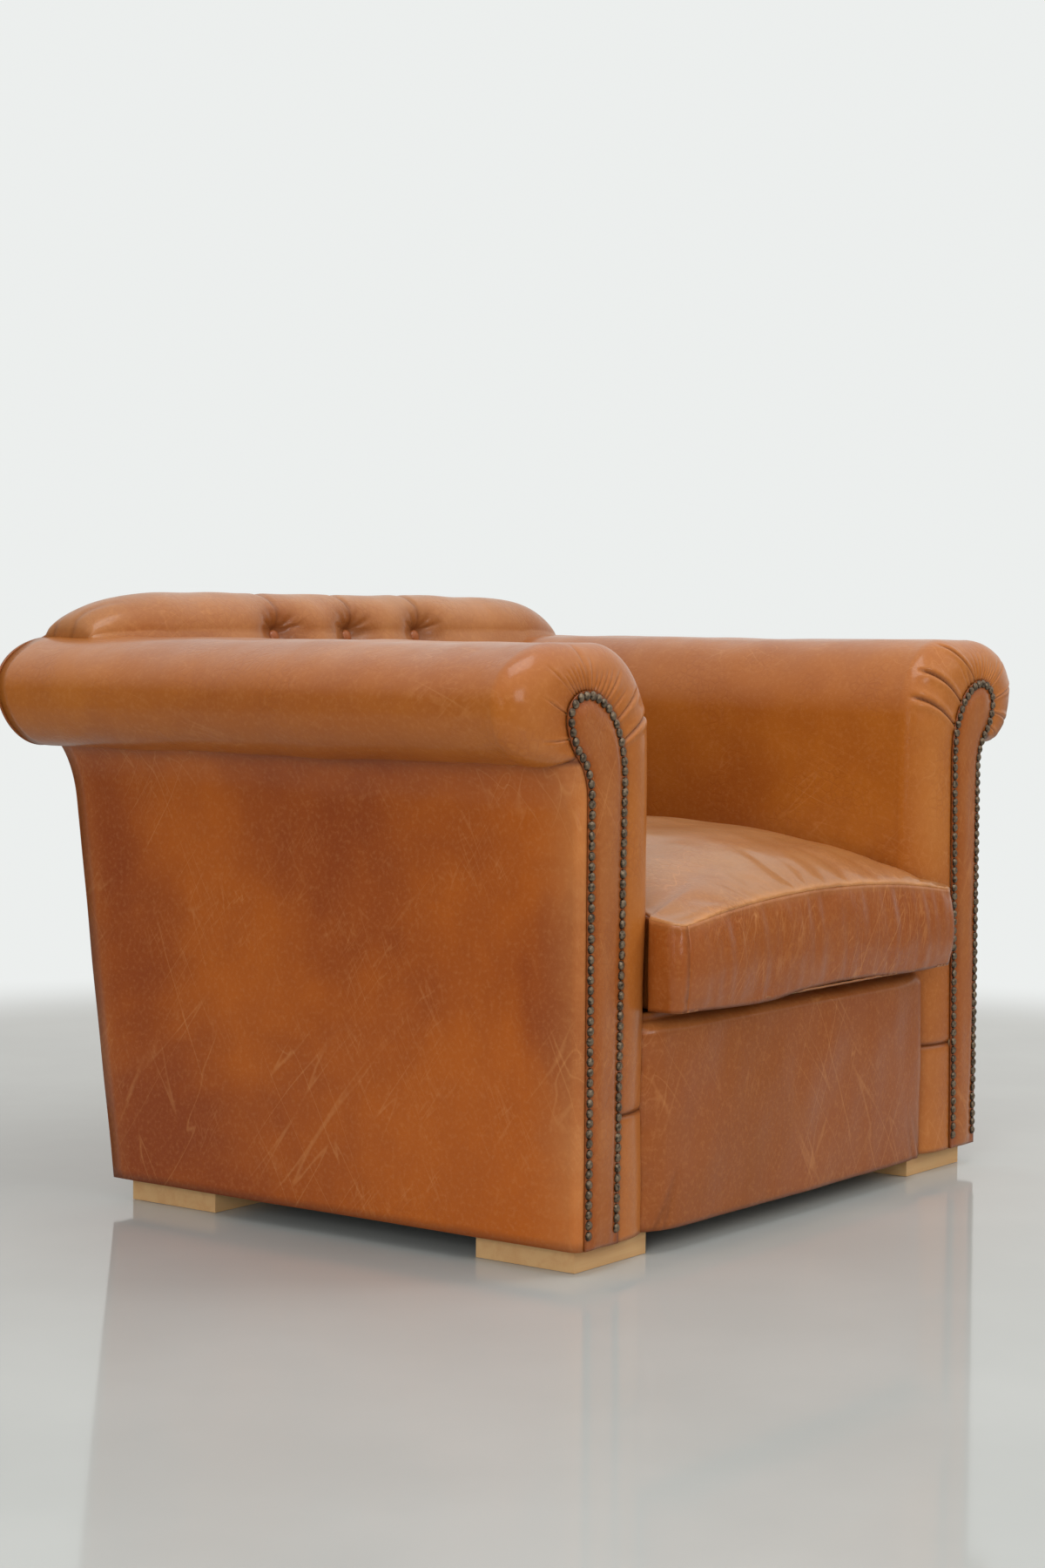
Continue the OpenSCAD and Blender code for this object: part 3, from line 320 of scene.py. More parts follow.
def show(name, mesh, material, body, slot, *replaced):
    """A new piece: linked, finished, riding on its body, standing for its CAD nodes."""
    piece = bpy.data.objects.new(name, mesh)
    bpy.context.scene.collection.objects.link(piece)
    mesh.materials.clear()
    mesh.materials.append(material)
    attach(piece, body)
    if replaced:
        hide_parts(*replaced)
    return piece


pine = wood_material("raw_pine", PINE_PALE, PINE_DARK, knots=0.9)
SOFT_EDGE = 0.0016
for corner in ("front_left", "front_right", "rear_left", "rear_right"):
    node = "foot_" + corner
    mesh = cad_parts[node].data.copy()
    foot = show("sawn_" + node, mesh, pine, "chair", "pine_foot", node)
    eased = foot.modifiers.new("eased_edges", "BEVEL")
    eased.width = SOFT_EDGE
    eased.segments = 2
    eased.limit_method = "ANGLE"
    eased.angle_limit = math.radians(40)

ZINC_BRIGHT = (0.62, 0.62, 0.60, 1.0)
ZINC_DULL = (0.42, 0.42, 0.41, 1.0)
zinc, tree, output = new_material("zinc_screw")
spots = noise(tree, object_place(tree), 600.0, 3.0)
lay_surface(tree, output, {
    "Base Color": blend_colour(tree, spots, ZINC_BRIGHT, ZINC_DULL),
    "Metallic": 1.0, "Roughness": ramp(tree, spots, 0.3, 0.7, 0.28, 0.45)})
dress(zinc, "foot_screws")


# Timber frame
# Beech rails, posts and blocks, plywood scroll boards and bent hardboard formers,
# all glued and stapled, and all closed in by the upholstery.
BEECH_PALE = (0.58, 0.38, 0.20, 1.0)
BEECH_DARK = (0.42, 0.24, 0.11, 1.0)
PLY_PALE = (0.62, 0.43, 0.23, 1.0)
PLY_DARK = (0.45, 0.28, 0.13, 1.0)
BOARD_PALE = (0.16, 0.085, 0.04, 1.0)
BOARD_DARK = (0.10, 0.05, 0.025, 1.0)
beech = wood_material("beech", BEECH_PALE, BEECH_DARK, along=8.0, across=140.0)
plywood = wood_material("plywood", PLY_PALE, PLY_DARK, across=90.0)
hardboard = wood_material("hardboard", BOARD_PALE, BOARD_DARK, along=60.0, across=60.0)
SIDES = ("left", "right")
dress(beech, "foot_blocks", "front_rail", "rear_seat_rail", "back_posts", "back_crest_rail", "back_tack_rail")
for side in SIDES:
    dress(beech, "side_seat_rail_" + side, "arm_front_post_" + side, "arm_top_rail_" + side,
          "arm_side_rail_" + side, "arm_tack_rail_" + side)
    dress(plywood, "arm_scroll_board_" + side, "arm_rear_board_" + side)
    dress(hardboard, "arm_former_" + side, "outside_arm_board_" + side)
dress(hardboard, "outside_back_board")


# Webbing, foam and black cloth
# Woven elastic straps carry the seat and the back, cut foam gives the shape,
# and a black non-woven cloth closes the underside.
def weave_material(name, first, second, pitch):
    """Plain weave of two tones at a pitch in metres."""
    material, tree, output = new_material(name)
    place = object_place(tree)
    bands = []
    for axis in "XY":
        wave = add_node(tree, "ShaderNodeTexWave", {
            "Vector": place, "Scale": 1.0 / pitch / 6.283, "Distortion": 0.6, "Detail": 2.0},
            bands_direction=axis)
        bands.append(wave.outputs["Fac"])
    woven = arithmetic(tree, "MULTIPLY", bands[0], bands[1])
    share = arithmetic(tree, "MULTIPLY", woven, noise(tree, place, 40.0, 4.0))
    lay_surface(tree, output, {
        "Base Color": blend_colour(tree, share, first, second),
        "Roughness": 0.85, "Normal": bumped(tree, woven, 0.5, pitch / 3)})
    return material


STRAP_DARK = (0.30, 0.20, 0.09, 1.0)
STRAP_PALE = (0.52, 0.38, 0.20, 1.0)
CLOTH_BLACK = (0.012, 0.012, 0.012, 1.0)
CLOTH_GREY = (0.04, 0.04, 0.04, 1.0)
FOAM_FRESH = (0.78, 0.70, 0.46, 1.0)
FOAM_YELLOWED = (0.66, 0.52, 0.28, 1.0)
webbing = weave_material("webbing", STRAP_DARK, STRAP_PALE, pitch=0.003)
black_cloth = weave_material("black_cloth", CLOTH_BLACK, CLOTH_GREY, pitch=0.0012)
dress(webbing, "seat_webbing_long", "seat_webbing_cross", "back_webbing")
dress(black_cloth, "dust_cover", "cushion_zip")

foam, tree, output = new_material("foam")
place = object_place(tree)
pores = add_node(tree, "ShaderNodeTexVoronoi", {"Vector": place, "Scale": 420.0}).outputs["Distance"]
lay_surface(tree, output, {
    "Base Color": blend_colour(tree, noise(tree, place, 6.0, 4.0), FOAM_FRESH, FOAM_YELLOWED),
    "Roughness": 0.95, "Normal": bumped(tree, pores, 0.5, 0.001)})
dress(foam, "deck_pad", "front_border_foam", "back_foam", "cushion_core", "arm_foam_left", "arm_foam_right")


# Arm covers
# One hide wraps each arm from the crease under the roll, over the roll and down the
# seat side, and is gathered in pleats round the scroll front. A second, plain hide
# covers the outside. Both are stapled behind the facing and at the rear.
HALF_W = 0.425
ARM_W = 0.144
ARM_TOP = 0.651
FLOOR_OF_HIDE = 0.026
SEAM_Z = 0.158
NOSE = 0.038
EDGE_NOSE = 0.012
HIDE_T = 0.002
BASE_D = 0.664
BASE_Z = 0.025
RAKE = math.tan(math.radians(7.8))
FRONT_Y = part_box("arm_front_post_left")[0].y
REAR_Y = FRONT_Y + BASE_D

HIDE_DEEP = (0.255, 0.057, 0.0090, 1.0)
HIDE_PALE = (0.570, 0.245, 0.080, 1.0)
HIDE_SHADE = (0.035, 0.012, 0.006, 1.0)
HIDE_STIR = (0.012, 0.012, 0.012)
WAX_COAT = 0.50
WAX_ROUGH = 0.17
HIDE_SHINE = 0.14


def hide_group():
    """Pull-up leather: cloudy tone, pale wear with painted sheen, painted shade in its folds, fine scratches
    and grain.
    """
    tree, given = open_group(
        "pull_up_hide",
        ("INPUT", "Color", ("Body", "Deep", "Pale")),
        ("INPUT", "Float", ("Mottle", "Scratches", "Creases", "Fold Shade", "Wear and Sheen")),
        ("INPUT", "Vector", ("Run", "Cross")),
        ("OUTPUT", "Color", ("Colour",)),
        ("OUTPUT", "Float", ("Roughness", "Height")))
    place = object_place(tree)

    def times(first, second):
        return arithmetic(tree, "MULTIPLY", first, second)

    def on_ways(operation, inputs):
        return add_node(tree, "ShaderNodeVectorMath", inputs, operation=operation).outputs

    def streaks(way, across, along, width):
        """Thin lines that run along one way of the hide, a little wandering."""
        share = times(on_ways("DOT_PRODUCT", {0: place, 1: way})["Value"], across - along)
        long = on_ways("SCALE", {0: way, 3: share})[0]
        wide = on_ways("SCALE", {0: place, 3: across})[0]
        field = noise(tree, on_ways("SUBTRACT", {0: wide, 1: long})[0], 1.0, 1.0, 0.35, 0.1)
        off_line = arithmetic(tree, "ABSOLUTE", arithmetic(tree, "SUBTRACT", field, 0.5))
        return ramp(tree, off_line, width, 0.0)

    # tone: broad clouds, blotches, specks of the pores, and pale wear on what stands out, which on some
    # panels also carries a painted sheen on faces that look up
    clouds = ramp(tree, noise(tree, place, 3.1, 4.0, 0.52, 0.4), 0.36, 0.63)
    blotches = ramp(tree, noise(tree, place, 17.0, 4.0, 0.6), 0.35, 0.7)
    specks = ramp(tree, noise(tree, place, 190.0, 3.0, 0.6), 0.45, 0.75, 0.0, 0.16)
    patchy = ramp(tree, noise(tree, place, 9.0, 6.0, 0.7, 0.8), 0.3, 0.75, 0.45, 1.0)
    colour = blend_colour(tree, times(clouds, given["Mottle"]), given["Body"], given["Deep"])
    colour = blend_colour(tree, times(blotches, 0.22), colour, given["Deep"])
    colour = blend_colour(tree, specks, colour, given["Pale"])
    colour = blend_colour(tree, times(patchy, given["Wear and Sheen"]), colour, given["Pale"])

    # scratches and finer hairlines, each kind running two ways and gathered in places
    lines = arithmetic(tree, "ADD", streaks(given["Run"], 36.0, 3.0, 0.012),
                       streaks(given["Cross"], 30.0, 2.6, 0.011))
    lines = times(lines, ramp(tree, noise(tree, place, 6.5, 3.0), 0.44, 0.64))
    hairs = arithmetic(tree, "ADD", streaks(given["Run"], 96.0, 9.0, 0.028),
                       streaks(given["Cross"], 84.0, 10.0, 0.025))
    hairs = times(hairs, ramp(tree, noise(tree, place, 11.0, 3.0), 0.50, 0.68, 0.0, 0.6))
    lines = arithmetic(tree, "ADD", lines, hairs)
    colour = blend_colour(tree, times(lines, given["Scratches"]), colour, given["Pale"])

    # fine wrinkles, painted shade in the folds, and the grain's height
    stir = add_node(tree, "ShaderNodeTexNoise", {"Vector": place, "Scale": 30.0}).outputs["Color"]
    warped = on_ways("ADD", {0: place, 1: on_ways("MULTIPLY", {0: stir, 1: HIDE_STIR})[0]})[0]
    cells = add_node(tree, "ShaderNodeTexVoronoi", {"Vector": warped, "Scale": 95.0},
                     feature="DISTANCE_TO_EDGE").outputs["Distance"]
    wrinkle = times(ramp(tree, cells, 0.16, 0.0), ramp(tree, noise(tree, place, 12.0, 3.0), 0.45, 0.65))
    wrinkle = times(wrinkle, given["Creases"])
    colour = blend_colour(tree, times(wrinkle, 0.35), colour, given["Deep"])
    # painted shade: the folds darken toward a near-black brown
    shaded = blend_colour(tree, 0.62, given["Deep"], HIDE_SHADE)
    colour = blend_colour(tree, given["Fold Shade"], colour, shaded)
    rough = ramp(tree, noise(tree, place, 23.0, 4.0), 0.3, 0.7, 0.33, 0.46)
    rough = arithmetic(tree, "ADD", rough, times(given["Fold Shade"], 0.2))
    pebble = add_node(tree, "ShaderNodeTexVoronoi", {"Vector": place, "Scale": 720.0}).outputs["Distance"]
    height = arithmetic(tree, "ADD", times(pebble, 0.16), times(noise(tree, place, 60.0, 4.0), 0.9))
    height = arithmetic(tree, "SUBTRACT", height, times(wrinkle, 0.5))
    height = arithmetic(tree, "SUBTRACT", height, times(lines, 0.12))
    return close_group(tree, Colour=colour, Roughness=rough, Height=height)


PULL_UP_HIDE = hide_group()


def painted(tree, key):
    """Value that a mesh carries on its vertices."""
    return add_node(tree, "ShaderNodeAttribute", attribute_name=key).outputs["Fac"]


def hide_material(name, mottle, scratches, creases, body, deep=HIDE_DEEP,
                  run=(0.45, 0.0, 0.89), cross=(-0.60, 0.0, 0.80)):
    """Leather for one panel, with the painted shade of its folds and the wear and painted sheen that its mesh
    carries.
    """
    material, tree, output = new_material(name)
    hide = add_node(tree, "ShaderNodeGroup", {
        "Body": body, "Deep": deep, "Pale": HIDE_PALE,
        "Mottle": mottle, "Scratches": scratches, "Creases": creases,
        "Run": run, "Cross": cross,
        "Fold Shade": painted(tree, "fold"), "Wear and Sheen": painted(tree, "wear"),
    }, node_tree=PULL_UP_HIDE).outputs
    lay_surface(tree, output, {
        "Base Color": hide["Colour"], "Roughness": hide["Roughness"],
        "Normal": bumped(tree, hide["Height"], 0.55, 0.0011),
        "IOR": 1.5, "Specular IOR Level": HIDE_SHINE,
        "Coat Weight": WAX_COAT, "Coat Roughness": WAX_ROUGH})
    return material


def straight(start, end, steps):
    """Points of a straight run, without its last."""
    share = np.arange(steps)[:, None] / steps
    return np.array(start) + (np.array(end) - np.array(start)) * share


def arc(centre, radii, start, end, steps):
    """Points of an arc of an ellipse, in degrees, without its last."""
    angle = np.radians(start + (end - start) * np.arange(steps) / steps)
    return np.stack([centre[0] + radii[0] * np.cos(angle), centre[1] + radii[1] * np.sin(angle)], 1)


def bent(start, control, end, steps):
    """Points of a curve with one control point, without its last."""
    t = np.arange(steps)[:, None] / steps
    start, control, end = map(np.array, (start, control, end))
    return start * (1 - t) ** 2 + control * 2 * t * (1 - t) + end * t ** 2


def rear_plane(z, depth=0.0):
    """Y of the raked rear, a depth in from the outside back, at height z."""
    return REAR_Y + (z - BASE_Z) * RAKE - depth


def ripples(points, seed, length, amount):
    """Smooth uneven swelling of a surface, the same on every run."""
    random = np.random.default_rng(seed)
    total = np.zeros(points.shape[:-1])
    for _ in range(7):
        way = random.normal(size=3)
        way *= random.uniform(0.7, 1.6) * 2 * math.pi / length / np.linalg.norm(way)
        total += np.sin(points @ way + random.uniform(0, 2 * math.pi))
    return amount * total / 4


def normals_of(points):
    """Outward normals of a grid whose columns and then rows turn right-handed."""
    rows = np.gradient(points, axis=0)
    cols = np.gradient(points, axis=1)
    normal = np.cross(cols, rows)
    return normal / np.maximum(np.linalg.norm(normal, axis=2, keepdims=True), 1e-12)


def clamp(values):
    """Values kept between 0 and 1."""
    return np.clip(values, 0, 1)


def smooth_mesh(name, points, faces, **marks):
    """Smooth mesh that keeps marks from 0 to 1 on its vertices, for its material."""
    mesh = bpy.data.meshes.new(name)
    mesh.from_pydata(points, [], faces)
    mesh.polygons.foreach_set("use_smooth", np.ones(len(mesh.polygons), bool))
    for key, values in marks.items():
        kept = mesh.attributes.new(key, "FLOAT", "POINT")
        kept.data.foreach_set("value", clamp(values).astype(np.float32))
    mesh.update()
    return mesh


def quads_of(index):
    """Quads between the neighbours of a grid of vertex numbers."""
    corners = (index[:-1, :-1], index[:-1, 1:], index[1:, 1:], index[1:, :-1])
    return np.stack(corners, 2).reshape(-1, 4)


def grid_mesh(name, points, keep=None, mirrored=False, **marks):
    """Smooth mesh over a grid of points, all of it or only the quads to keep."""
    rows, cols = points.shape[:2]
    if mirrored:
        points = points * np.array([-1.0, 1.0, 1.0])
    quads = quads_of(np.arange(rows * cols).reshape(rows, cols))
    if keep is not None:
        quads = quads[keep.reshape(-1)]
    if mirrored:
        quads = quads[:, ::-1]
    used, quads = np.unique(quads, return_inverse=True)
    return smooth_mesh(name, points.reshape(-1, 3)[used].tolist(), quads.reshape(-1, 4).tolist(),
                       **{key: values.reshape(-1)[used] for key, values in marks.items()})


def leather_back(piece):
    """Gives a sheet the thickness of its leather, behind the face that shows."""
    thick = piece.modifiers.new("leather_thickness", "SOLIDIFY")
    thick.thickness = HIDE_T
    thick.offset = -1.0


# places are [in from the side of the base, up]; each arc has its centre and radii
CREASE = (-0.022, 0.531)
UNDER_END = (-0.045, 0.526)
ROLL_Z = 0.591
ROLL_UNDER = ((-0.045, ROLL_Z), (0.065, 0.065))
ROLL_OVER = ((-0.010, ROLL_Z), (0.100, 0.060))
SHOULDER_Z = 0.559
SHOULDER = ((0.057, SHOULDER_Z), (0.087, 0.092))
FACING_IN = 0.009
FACING_FOOT = (0.068, FLOOR_OF_HIDE)
FACING_TOP = (0.077, 0.510)
NECK = (-0.010, 0.5352)
NECK_BEND = (-0.028, 0.555)
SCROLL = ((0.006, 0.575), (0.034, 0.028))
SCROLL_LEFT = (-0.028, 0.575)
SCROLL_ARM = ((0.006, 0.510), (0.071, 0.093))

# the roll's outline from the crease, and the edge of the facing with a point for each
# of the roll's
STEPS = (12, 64, 88, 28, 92, 70, 24)
SEAM_AT = sum(STEPS[:6])
roll_line = np.concatenate([
    straight(CREASE, UNDER_END, STEPS[0]),
    arc(*ROLL_UNDER, 270, 180, STEPS[1]),
    arc(*ROLL_OVER, 180, 90, STEPS[2]),
    straight((ROLL_OVER[0][0], ARM_TOP), (SHOULDER[0][0], ARM_TOP), STEPS[3]),
    arc(*SHOULDER, 90, 0, STEPS[4]),
    straight((ARM_W, SHOULDER_Z), (ARM_W, SEAM_Z), STEPS[5]),
    straight((ARM_W, SEAM_Z), (ARM_W, FLOOR_OF_HIDE), STEPS[6]),
    [(ARM_W, FLOOR_OF_HIDE)],
])
facing_seam_share = (FACING_TOP[1] - SEAM_Z) / (FACING_TOP[1] - FLOOR_OF_HIDE)
FACING_SEAM = (FACING_TOP[0] + (FACING_FOOT[0] - FACING_TOP[0]) * facing_seam_share, SEAM_Z)
facing_loop = np.concatenate([
    bent(NECK, NECK_BEND, SCROLL_LEFT, STEPS[0] + STEPS[1]),
    arc(*SCROLL, 180, 90, STEPS[2]),
    arc(*SCROLL_ARM, 90, 75, STEPS[3]),
    arc(*SCROLL_ARM, 75, 0, STEPS[4]),
    straight(FACING_TOP, FACING_SEAM, STEPS[5]),
    straight(FACING_SEAM, FACING_FOOT, STEPS[6]),
    [FACING_FOOT],
])

# folds of the gathered hide, as [step at the facing, step at their end, reach in degrees
# round the nose, depth]: long ones listed one by one, and fine ones where the loop is tightest
NEAR_FOLDS = (
    (254, 278, 96, 0.0034), (234, 244, 44, 0.0024), (209, 215, 32, 0.0020), (167, 171, 66, 0.0013),
    (86, 93, 22, 0.0018), (36, 44, 26, 0.0016), (222, 228, 24, 0.0012),
)
FAR_FOLDS = (
    (188, 205, 62, 0.0046), (228, 242, 64, 0.0050), (254, 266, 66, 0.0046),
    (82, 84, 80, 0.0020), (52, 44, 70, 0.0018), (116, 118, 60, 0.0014), (20, 20, 56, 0.0014),
)
FINE_FOLDS = tuple((at, at + 1, 18 + (at * 7) % 23, 0.0010 + (at % 4) * 0.0002)
                   for at in range(128, 206, 7))
FOLD_DEEP = 0.0032
PUFF_SHARE = 0.36
PUFF_MOST = 0.0022
NOSE_FULL = 0.0035
SEAM_WIDE = 0.0035
SEAM_DEEP = 0.0016
NOSE_ROWS = 34
LENGTH_ROWS = 40
TURN_IN = (0.0, 0.0004, 0.0012)
REAR_CLEAR = 0.0006
REAR_HEMS = ((0.004, 0.0016), (0.014, 0.002))


def arm_grid(line, facing, nose):
    """Grid of an arm's surface from the facing round the nose and back to the rear."""
    rows = []
    for angle in np.linspace(0, math.pi / 2, NOSE_ROWS, endpoint=False):
        spot = facing + (line - facing) * math.sin(angle)
        rows.append(np.column_stack([
            spot[:, 0] - HALF_W, FRONT_Y + nose * (1 - math.cos(angle)), spot[:, 1]]))
    for share in np.linspace(0, 1, LENGTH_ROWS):
        start = FRONT_Y + nose
        end = rear_plane(line[:, 1], REAR_CLEAR)
        rows.append(np.column_stack([line[:, 0] - HALF_W, start + (end - start) * share, line[:, 1]]))
    return np.array(rows)


def hemmed(points, *values):
    """Turns the rear end of an arm's hide in behind the outside back."""
    inward = normals_of(points)[-1]
    turned = [points[-1] - inward * depth - np.array([0.0, back, 0.0]) for depth, back in REAR_HEMS]
    return (np.concatenate([points, np.array(turned)]),
            *(np.concatenate([value, np.repeat(value[-1:], len(REAR_HEMS), 0)]) for value in values))


def lifted(points, lift):
    """Moves an arm's hide out by its lift, and its last rows in at the rear."""
    lift[-len(TURN_IN):] -= np.array(TURN_IN)[:, None]
    return points + normals_of(points) * lift[..., None]


def angle_rows(count):
    """Turn of each row in degrees round the nose, and past 90 further along the arm."""
    return np.concatenate([np.linspace(0, 90, NOSE_ROWS, endpoint=False),
                           90 + 10 * np.arange(count - NOSE_ROWS)])


def gathered(step, angle, folds):
    """Grooves of the folds, and the swelling beside them, over a grid."""
    groove = np.zeros((len(angle), len(step)))
    puff = np.zeros(groove.shape)
    turned = angle[:, None]
    for start, end, reach, depth in folds:
        at = start + (end - start) * np.clip(turned / reach, 0, 1.2)
        width = 0.85 + 0.75 * np.minimum(turned, 90) / 90
        off = (step[None, :] - at) / width
        fade = clamp((reach + 8 - turned) / 18)
        groove = np.maximum(groove, depth * fade * np.exp(-np.abs(off) ** 1.4))
        beside = np.exp(-((off - 3.6) / 2.8) ** 2) + 0.6 * np.exp(-((off + 3.4) / 2.7) ** 2)
        puff += PUFF_SHARE * depth * fade * beside
    return groove, np.minimum(puff, PUFF_MOST)


inside_hide = hide_material(
    "inside_arm_hide", mottle=0.55, scratches=0.24, creases=0.5,
    body=(0.405, 0.121, 0.0130, 1.0),
    run=(0.05, 0.93, 0.37), cross=(0.0, 0.75, -0.66))
outside_hide = hide_material(
    "outside_arm_hide", mottle=1.0, scratches=0.26, creases=0.2,
    body=(0.400, 0.092, 0.0048, 1.0), deep=(0.240, 0.044, 0.0040, 1.0),
    run=(0.0, 0.45, 0.89), cross=(0.0, -0.62, 0.78))
strip_hide = hide_material(
    "lower_strip_hide", mottle=0.35, scratches=0.2, creases=0.4,
    body=(0.42, 0.128, 0.018, 1.0))
steps = np.arange(len(roll_line))
for side, folds, seed in (("left", NEAR_FOLDS, 3), ("right", FAR_FOLDS, 8)):
    points = arm_grid(roll_line, facing_loop, np.full(len(roll_line), NOSE))
    angle = angle_rows(len(points))
    groove, puff = gathered(steps, angle, folds + FINE_FOLDS)
    fullness = np.sin(np.radians(np.minimum(angle, 90)) * 2)[:, None] * NOSE_FULL
    seam = np.exp(-((points[..., 2] - SEAM_Z) / SEAM_WIDE) ** 2)
    swell = ripples(points, seed, 0.33, 0.0016) + ripples(points, seed + 20, 0.11, 0.0006)
    swell *= np.clip(angle / 30, 0.2, 1)[:, None]
    points = lifted(points, fullness + swell + puff - groove - SEAM_DEEP * seam)
    # painted shade in the grooves, along the seam, beside the facing and in the crease under the roll
    at_facing = clamp(1 - angle / 6)[:, None]
    at_crease = np.exp(-((steps - 1) / 5.0) ** 2)[None, :]
    fold = clamp(groove / FOLD_DEEP) ** 1.5 * 0.85 + 0.8 * seam
    fold += at_facing * 0.5
    fold += at_crease * 0.9
    # pale wear on the puffs and the nose, and a painted sheen on faces that look up
    raised = clamp(puff / 0.002) * 0.22
    top_sheen = clamp(normals_of(points)[..., 2]) ** 2 * 0.25
    on_nose = clamp(1 - np.abs(angle - 35) / 35)[:, None] * 0.25
    wear = raised + top_sheen + on_nose
    points, fold, wear = hemmed(points, fold, wear)
    parts = (
        ("inside_arm_hide_", slice(0, SEAM_AT + 1), inside_hide, "inside_arm_cover_"),
        ("lower_strip_hide_", slice(SEAM_AT, len(steps)), strip_hide, "arm_lower_strip_"),
    )
    for name, span, material, node in parts:
        mesh = grid_mesh(name + side, points[:, span], mirrored=side == "right",
                         fold=fold[:, span], wear=wear[:, span])
        piece = show(name + side, mesh, material, "chair", "tan_leather", node + side)
        leather_back(piece)
        if node == "inside_arm_cover_":
            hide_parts("arm_foam_" + side)

# the plain hide outside, up to the crease, with a tighter turn at its front edge
SIDE_STEPS = (40, 34)
FLARE_Z = 0.463
FLARE = ((-0.0381, FLARE_Z), (0.0381, 0.07503))
FACING_FLARE_Z = 0.491
FACING_FLARE = ((FACING_IN - 0.038, FACING_FLARE_Z), (0.038, 0.051))
SIDE_FULL = 0.0012
SIDE_SUNK = 0.0006
side_line = np.concatenate([
    straight((0.0, FLOOR_OF_HIDE), (0.0, FLARE_Z), SIDE_STEPS[0]),
    arc(*FLARE, 0, 65, SIDE_STEPS[1]),
    [CREASE],
])
facing_side = np.concatenate([
    straight((FACING_IN, FLOOR_OF_HIDE), (FACING_IN, FACING_FLARE_Z), SIDE_STEPS[0]),
    arc(*FACING_FLARE, 0, 60, SIDE_STEPS[1]),
    [NECK],
])
up_flare = clamp((np.arange(len(side_line)) - SIDE_STEPS[0]) / SIDE_STEPS[1])
for side, seed in (("left", 5), ("right", 9)):
    points = arm_grid(side_line, facing_side, EDGE_NOSE + (NOSE - EDGE_NOSE) * up_flare)
    angle = angle_rows(len(points))
    lift = ripples(points, seed, 0.42, 0.0013) + ripples(points, seed + 30, 0.15, 0.0005)
    lift = np.maximum(lift + SIDE_FULL, -SIDE_SUNK) * np.clip(angle / 60, 0.1, 1)[:, None]
    points = lifted(points, lift)
    # painted shade along the front turn, at the hem by the floor and in the crease under the roll
    hem = clamp(1 - (points[..., 2] - FLOOR_OF_HIDE) / 0.010)
    fold = clamp(1 - angle / 8)[:, None] * 0.5 + 0.35 * hem
    fold += clamp(1 - np.abs(points[..., 2] - CREASE[1]) / 0.006) * 0.9
    front = clamp(1 - (points[..., 1] - FRONT_Y) / 0.07)
    rear = clamp(1 - (rear_plane(points[..., 2]) - points[..., 1]) / 0.03)
    wear = 0.55 * front ** 1.5 + 0.25 * rear
    points, fold, wear = hemmed(points, fold, wear)
    name = "outside_arm_hide_" + side
    mesh = grid_mesh(name, points, mirrored=side == "right", fold=fold, wear=wear)
    piece = show(name, mesh, outside_hide, "chair", "tan_leather", "outside_arm_cover_" + side)
    leather_back(piece)


# Inside back
# One hide over soft foam, drawn in by ten covered buttons set in a diamond, with folds
# from button to button and three pleats that run on over the rounded top.
BACK_TOP = 0.704
LOAF_T = 0.104
LOAF_H = 0.045
LOAF_TURN = 150.0
END_TURN = 26.0
ROUND_SHARE = 0.8
CORNER_W = 0.176
CORNER_H = 0.058
WING_X = HALF_W + 0.029
CORNER_X = WING_X - CORNER_W
DECK_Z = 0.257
DECK_TUCK = 0.004
SEAT_D = 0.548
BACK_EDGE = 0.2807
TUFT_Z = BACK_TOP - LOAF_H
TUFT_PITCH = 0.137
TUFT_RISE = 0.105
TUFT_DEPTH = 0.025
PIT_R = 0.030
STAR_R = 0.023
STAR_W = 0.013
STAR_ARMS = 11
STAR_DEEP = 0.0042
PLEAT_DEEP = 0.0095
PLEAT_W = 0.0075
FACE_POWER = 1.7
SHOULDER_POWER = 2.5
SUNK = 0.002

buttons = [((i - (2 + row % 2) / 2) * TUFT_PITCH, TUFT_Z - row * TUFT_RISE)
           for row in range(3) for i in range(3 + row % 2)]


def over_arc(inward, centre, radii):
    """Height of an arc's upper half over a place inward from the side of the base."""
    return centre[1] + radii[1] * np.sqrt(clamp(1 - ((inward - centre[0]) / radii[0]) ** 2))


def arm_height(inward):
    """Height of an arm's top over a place inward from the side of the base."""
    flat = np.where(inward > ROLL_OVER[0][0], ARM_TOP, over_arc(inward, *ROLL_OVER))
    return np.where(inward > SHOULDER[0][0], over_arc(inward, *SHOULDER), flat)


def back_top(out):
    """Height of the back by how far out its rounded corner has come."""
    return BACK_TOP - CORNER_H + CORNER_H * (1 - out ** SHOULDER_POWER) ** (1 / SHOULDER_POWER)


def corner_at(x):
    """How far into the back's rounded corner a place x has come."""
    return clamp((np.abs(x) - CORNER_X) / CORNER_W)


def loaf_turn_at(x):
    """How far the padded top turns over at x: right down to the arm at its ends."""
    return LOAF_TURN + END_TURN * corner_at(x)


